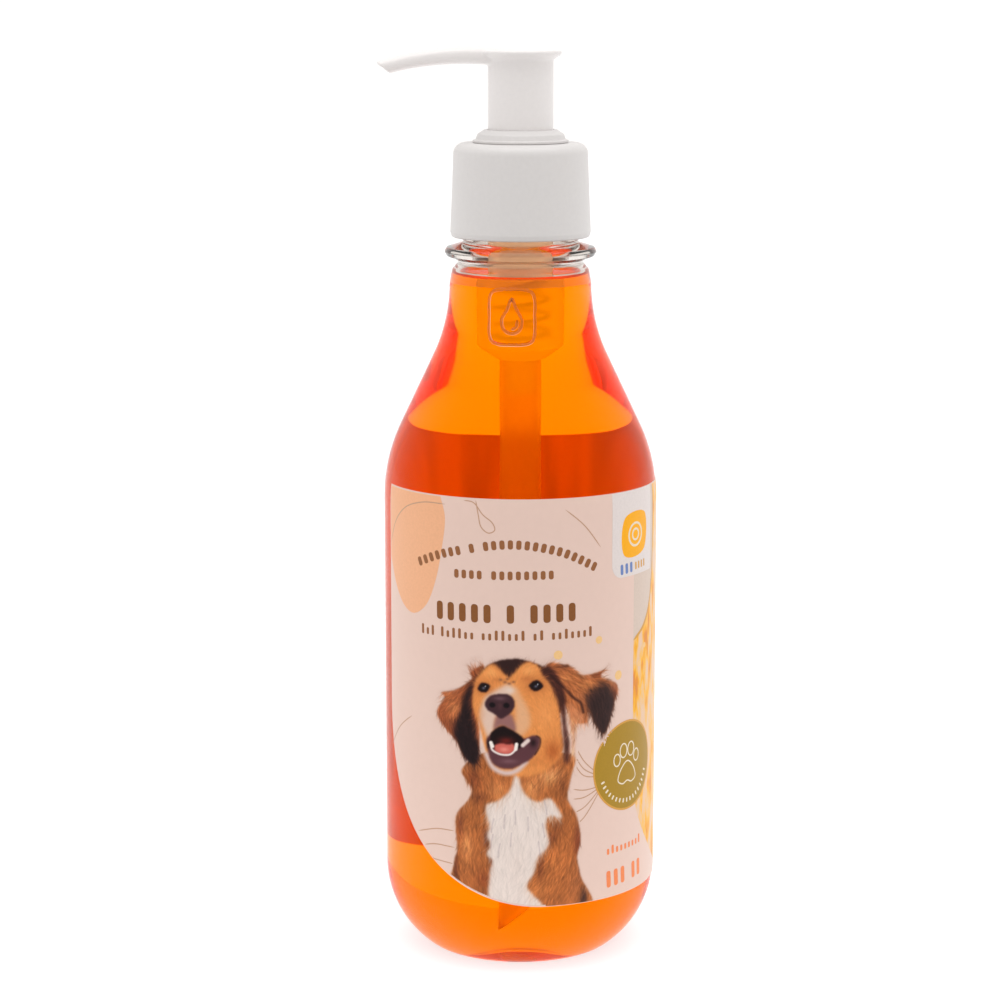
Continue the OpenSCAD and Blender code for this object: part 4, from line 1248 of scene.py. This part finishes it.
hair(np.maximum(band_right, tuft), 500, 2.2, 0.3, 0.6, 1.7)
lay(trace([(6.3, 67.1), (9.3, 64.1), (11.4, 61.9), (13.2, 60.4), (13.8, 58.4)], 0.5, 0.3), "#281210", 0.9)

# Muzzle: pale round the nose, with a dark pad, an open mouth, teeth and tongue.
muzzle_left = region([
    (-2.6, 65.2), (-4.9, 64.2), (-7.4, 62.6), (-8.5, 60.1), (-8.7, 57.5), (-7.8, 54.7),
    (-6.9, 53.0), (-5.7, 55.4), (-5.3, 57.7), (-4, 60), (-2, 63),
], 0.4)
muzzle_right = region([
    (-2.6, 65.2), (-0.9, 64.4), (0.2, 62.4), (1.6, 59.6), (2.0, 56.7), (1.1, 54.8), (-0.4, 53.8),
    (-1.6, 55.3), (-1.2, 57.8), (-1.4, 61.6), (-3.2, 63.5),
], 0.45)
lay(muzzle_left, "#DEC4B8", 0.9)
lay(muzzle_right, "#E2B694", 0.7)
lay(spot_of(-2.4, 63.9, 1.5, 1.0), "#E2CCC0", 0.9)
dab(dog_face, (-8.3, 58.4, 1.0, 1.8, "#D8AA8C", 0.6))
for x, z in ((-4.3, 66.2), (-3.4, 65.7), (-2.5, 65.4), (-1.6, 65.8), (-2.9, 66.4)):
    lay(spot_of(x, z, 0.55, 0.4), "#784E3C", 0.7)
lay(region([
    (-5.8, 55.2), (-5.4, 57.9), (-4.4, 58.4), (-2.3, 58.8), (-1.4, 57.3), (-1.1, 55.0),
    (-2.6, 55.5), (-4.3, 56.1),
], 0.3), "#946662")
nose = region([
    (-7.8, 60.9), (-6.7, 62.5), (-4.6, 63.1), (-2.5, 62.9), (-1.3, 61.3), (-1.9, 59.3),
    (-3.2, 58.2), (-4.4, 57.7), (-5.7, 58.6), (-7.2, 59.5),
], 0.16)
lay(nose, "#3E242A")
dab(nose,
    (-4.5, 62.1, 1.9, 0.7, "#684850", 0.9), (-4.5, 60.4, 0.6, 1.2, "#543236", 0.7))
for x in (-6.15, -3.1):
    lay(spot_of(x, 60.6, 0.85, 0.75, soft=0.5), "#10060C")
jaw = region([
    (-7.4, 52.6), (-6.6, 54.0), (-4.3, 55.6), (-2.6, 55.2), (0.3, 53.4), (2.6, 54.0), (4.0, 53.4),
    (3.7, 51.0), (2.2, 48.9), (0, 47.6), (-2.2, 46.6), (-5.0, 47.0), (-6.6, 48.6),
], 0.2)
lay(trace([(-7.4, 49.6), (-6.0, 46.9), (-3.4, 45.7), (-0.9, 46.3), (1.0, 48.2)], 1.1, 0.4), "#D8C0BC", 0.95)
lay(jaw, "#5C363C")
mouth = region([
    (-6.3, 54.6), (-4.3, 56.0), (-2.6, 55.6), (0.4, 53.5), (-0.1, 51.5), (-2.6, 50.4), (-5.6, 50.9),
    (-6.6, 52.8),
], 0.18)
lay(mouth, "#160608")
dab(mouth, (-3.2, 52.8, 2.3, 1.2, "#701E18", 0.85))
dab(jaw, (2.6, 52.4, 1.0, 1.3, "#221014", 0.9))
lay(spot_of(-7.0, 52.0, 0.5, 1.5), "#16080C", 0.9)
tongue = region([
    (-5.7, 51.6), (-4.2, 52.3), (-2.9, 52.0), (-1.7, 52.2), (-1.2, 51.2), (-2.0, 50.1),
    (-3.7, 49.9), (-5.3, 50.3),
], 0.18)
lay(tongue, "#CE6458")
dab(tongue, (-3.6, 50.9, 1.3, 0.7, "#EA8E80", 0.9))
lay(trace([
    (-6.5, 52.2), (-6.2, 50.8), (-5.0, 50.0), (-3.6, 49.7), (-2.2, 49.9), (-1.2, 50.9),
    (-0.9, 52.0),
], 0.42, 0.14),
    "#F0E6E0")
lay(trace([(-6.45, 52.3), (-6.1, 51.5)], 0.75, 0.15), "#F4ECE4")
lay(trace([(-1.1, 51.0), (-0.95, 52.1)], 0.75, 0.15), "#F4ECE4")
lay(trace([(0.4, 51.9), (1.5, 52.9)], 0.9, 0.2), "#E8D6CE", 0.95)
dab(jaw, (-2.6, 48.3, 2.6, 0.8, "#805860", 0.7))
lay(trace([(3.3, 53.9), (4.1, 53.2), (4.0, 51.6), (3.0, 49.8)], 0.25, 0.2), "#241014", 0.8)

# Eyes: almond rims, near black, each with a small cold light in it.
for x, z, wide, tall, lean in ((-8.0, 64.3, 1.35, 1.05, 0.3), (3.2, 64.9, 1.5, 1.15, -0.15)):
    lay(spot_of(x, z, wide * 1.9, tall * 1.9), "#A85C30", 0.75)
    rim = region([
        (x - wide, z - 0.15 - lean), (x - wide * 0.5, z + tall * 0.85), (x + wide * 0.3, z + tall),
        (x + wide, z + 0.1 + lean), (x + wide * 0.5, z - tall * 0.8),
        (x - wide * 0.3, z - tall * 0.95),
    ], 0.15)
    lay(rim, "#180A0C")
    lay(spot_of(x - 0.05, z - 0.1, 0.55, 0.45, soft=0.9), "#606274", 0.9)
    lay(spot_of(x + 0.35, z + 0.3, 0.2, 0.2, soft=0.6), "#C8CDD7", 0.8)

# The picture ends at the label's own rounded corner.
in_corner = (across_mm < label_left + corner_r) & (up_mm < label_bottom + corner_r)
from_corner = np.hypot(across_mm - label_left - corner_r, up_mm - label_bottom - corner_r)
cover[in_corner & (from_corner > corner_r - 0.35)] = 0

picture = picture * cover[..., None] + ground * (1 - cover[..., None])
painted = linear(picture)

dog_shape = bmesh.new()
bmesh.ops.create_grid(dog_shape, x_segments=columns, y_segments=rows, size=0.5)
bmesh.ops.scale(dog_shape, vec=(columns * cell, rows * cell, 1), verts=dog_shape.verts)
bmesh.ops.rotate(dog_shape, verts=dog_shape.verts, cent=(0, 0, 0),
                 matrix=Matrix.Rotation(math.pi / 2, 3, "X"))
middle_of = ((dog_left + dog_right) / 2, 0, (dog_low + dog_high) / 2)
bmesh.ops.translate(dog_shape, verts=dog_shape.verts, vec=middle_of)
paint = dog_shape.verts.layers.float_color.new("picture")
bare = []
for vert in dog_shape.verts:
    column, row = round((vert.co.x - dog_left) / cell), round((vert.co.z - dog_low) / cell)
    vert[paint] = (*painted[row, column], 1)
    if cover[row, column] < 0.03:
        bare.append(vert)
bmesh.ops.delete(dog_shape, geom=bare, context="VERTS")

# Four-colour print under lacquer: the painted picture with a very fine dot to it.
dog_print = material("four-colour printed dog picture")
dog_colours = add(dog_print, "ShaderNodeAttribute", attribute_name="picture")
dog_place = add(dog_print, "ShaderNodeTexCoord")
dot = add(dog_print, "ShaderNodeTexNoise", {
    "Vector": dog_place.outputs["Object"], "Scale": 1 / (0.25 * MM), "Detail": 1,
})
dot_tone = add(dog_print, "ShaderNodeMapRange", {
    "Value": dot.outputs["Fac"], "To Min": 0.97, "To Max": 1.03,
})
dotted = add(dog_print, "ShaderNodeHueSaturation", {
    "Color": dog_colours.outputs["Color"], "Value": dot_tone.outputs["Result"],
})
dog_shader = add(dog_print, "ShaderNodeBsdfPrincipled", {
    "Base Color": dotted.outputs["Color"], "Roughness": 0.34, "IOR": 1.49, "Specular IOR Level": 0.14,
})
add(dog_print, "ShaderNodeOutputMaterial", {"Surface": dog_shader.outputs["BSDF"]})
piece("dog_picture", wrapped(dog_shape, film_out + layer_rise * 9), [dog_print], "bottle_body")

# ---------- shoulder emblem ----------
# A plain raised mark blown into the front of the shoulder: a drop in a rounded frame. It is
# the same PET as the bottle and shows only by the light lines along its ridges.

shoulder_x, shoulder_z = zip(*[(x, z) for x, z in body_outline(0) if z > side_top])
emblem_x, emblem_z, emblem_proud = -2.0, 142.2, 0.2
ridge_w, ridge_h, ridge_round = 0.7, 0.5, 0.3
frame_line = curve([
    (5, 0), (4.5, 5), (0, 5.8), (-4.5, 5), (-5, 0), (-4.5, -5), (0, -5.8), (4.5, -5),
], closed=True)
drop_line = curve([
    (0, 3.8), (1.0, 1.6), (2.2, -0.7), (1.7, -2.7), (0, -3.5), (-1.7, -2.7), (-2.2, -0.7),
    (-1.0, 1.6),
], closed=True)
glint_line = curve([(1.2, -0.6), (1.0, -2.0), (-0.1, -2.7)])
ridges = band(frame_line, ridge_w, closed=True) + band(drop_line, ridge_w, closed=True)
ridges += band(glint_line, ridge_w)
emblem_shape = flat(*[[(emblem_x + x, emblem_z + z) for x, z in quad] for quad in ridges])
bmesh.ops.remove_doubles(emblem_shape, verts=emblem_shape.verts, dist=0.001)
raised = bmesh.ops.extrude_face_region(emblem_shape, geom=emblem_shape.faces[:], use_keep_orig=True)
raised_verts = [v for v in raised["geom"] if isinstance(v, bmesh.types.BMVert)]
bmesh.ops.translate(emblem_shape, verts=raised_verts, vec=(0, ridge_h, 0))
outer_edges = [e for e in emblem_shape.edges if e.verts[0].co.y + e.verts[1].co.y < ridge_h]
crests = [e for e in outer_edges if e.calc_face_angle(0) > 1]
bmesh.ops.bevel(emblem_shape, geom=crests, offset=ridge_round, segments=2, profile=0.5, affect="EDGES",
                material=-1)
for vert in emblem_shape.verts:
    reach = float(np.interp(vert.co.z, shoulder_z, shoulder_x)) + emblem_proud - vert.co.y
    around = vert.co.x / reach
    vert.co = Vector((reach * math.sin(around), -reach * math.cos(around), vert.co.z))
bmesh.ops.recalc_face_normals(emblem_shape, faces=emblem_shape.faces)
piece("shoulder_emblem", emblem_shape, [neck_pet_tinted_for_shade], "bottle_body")
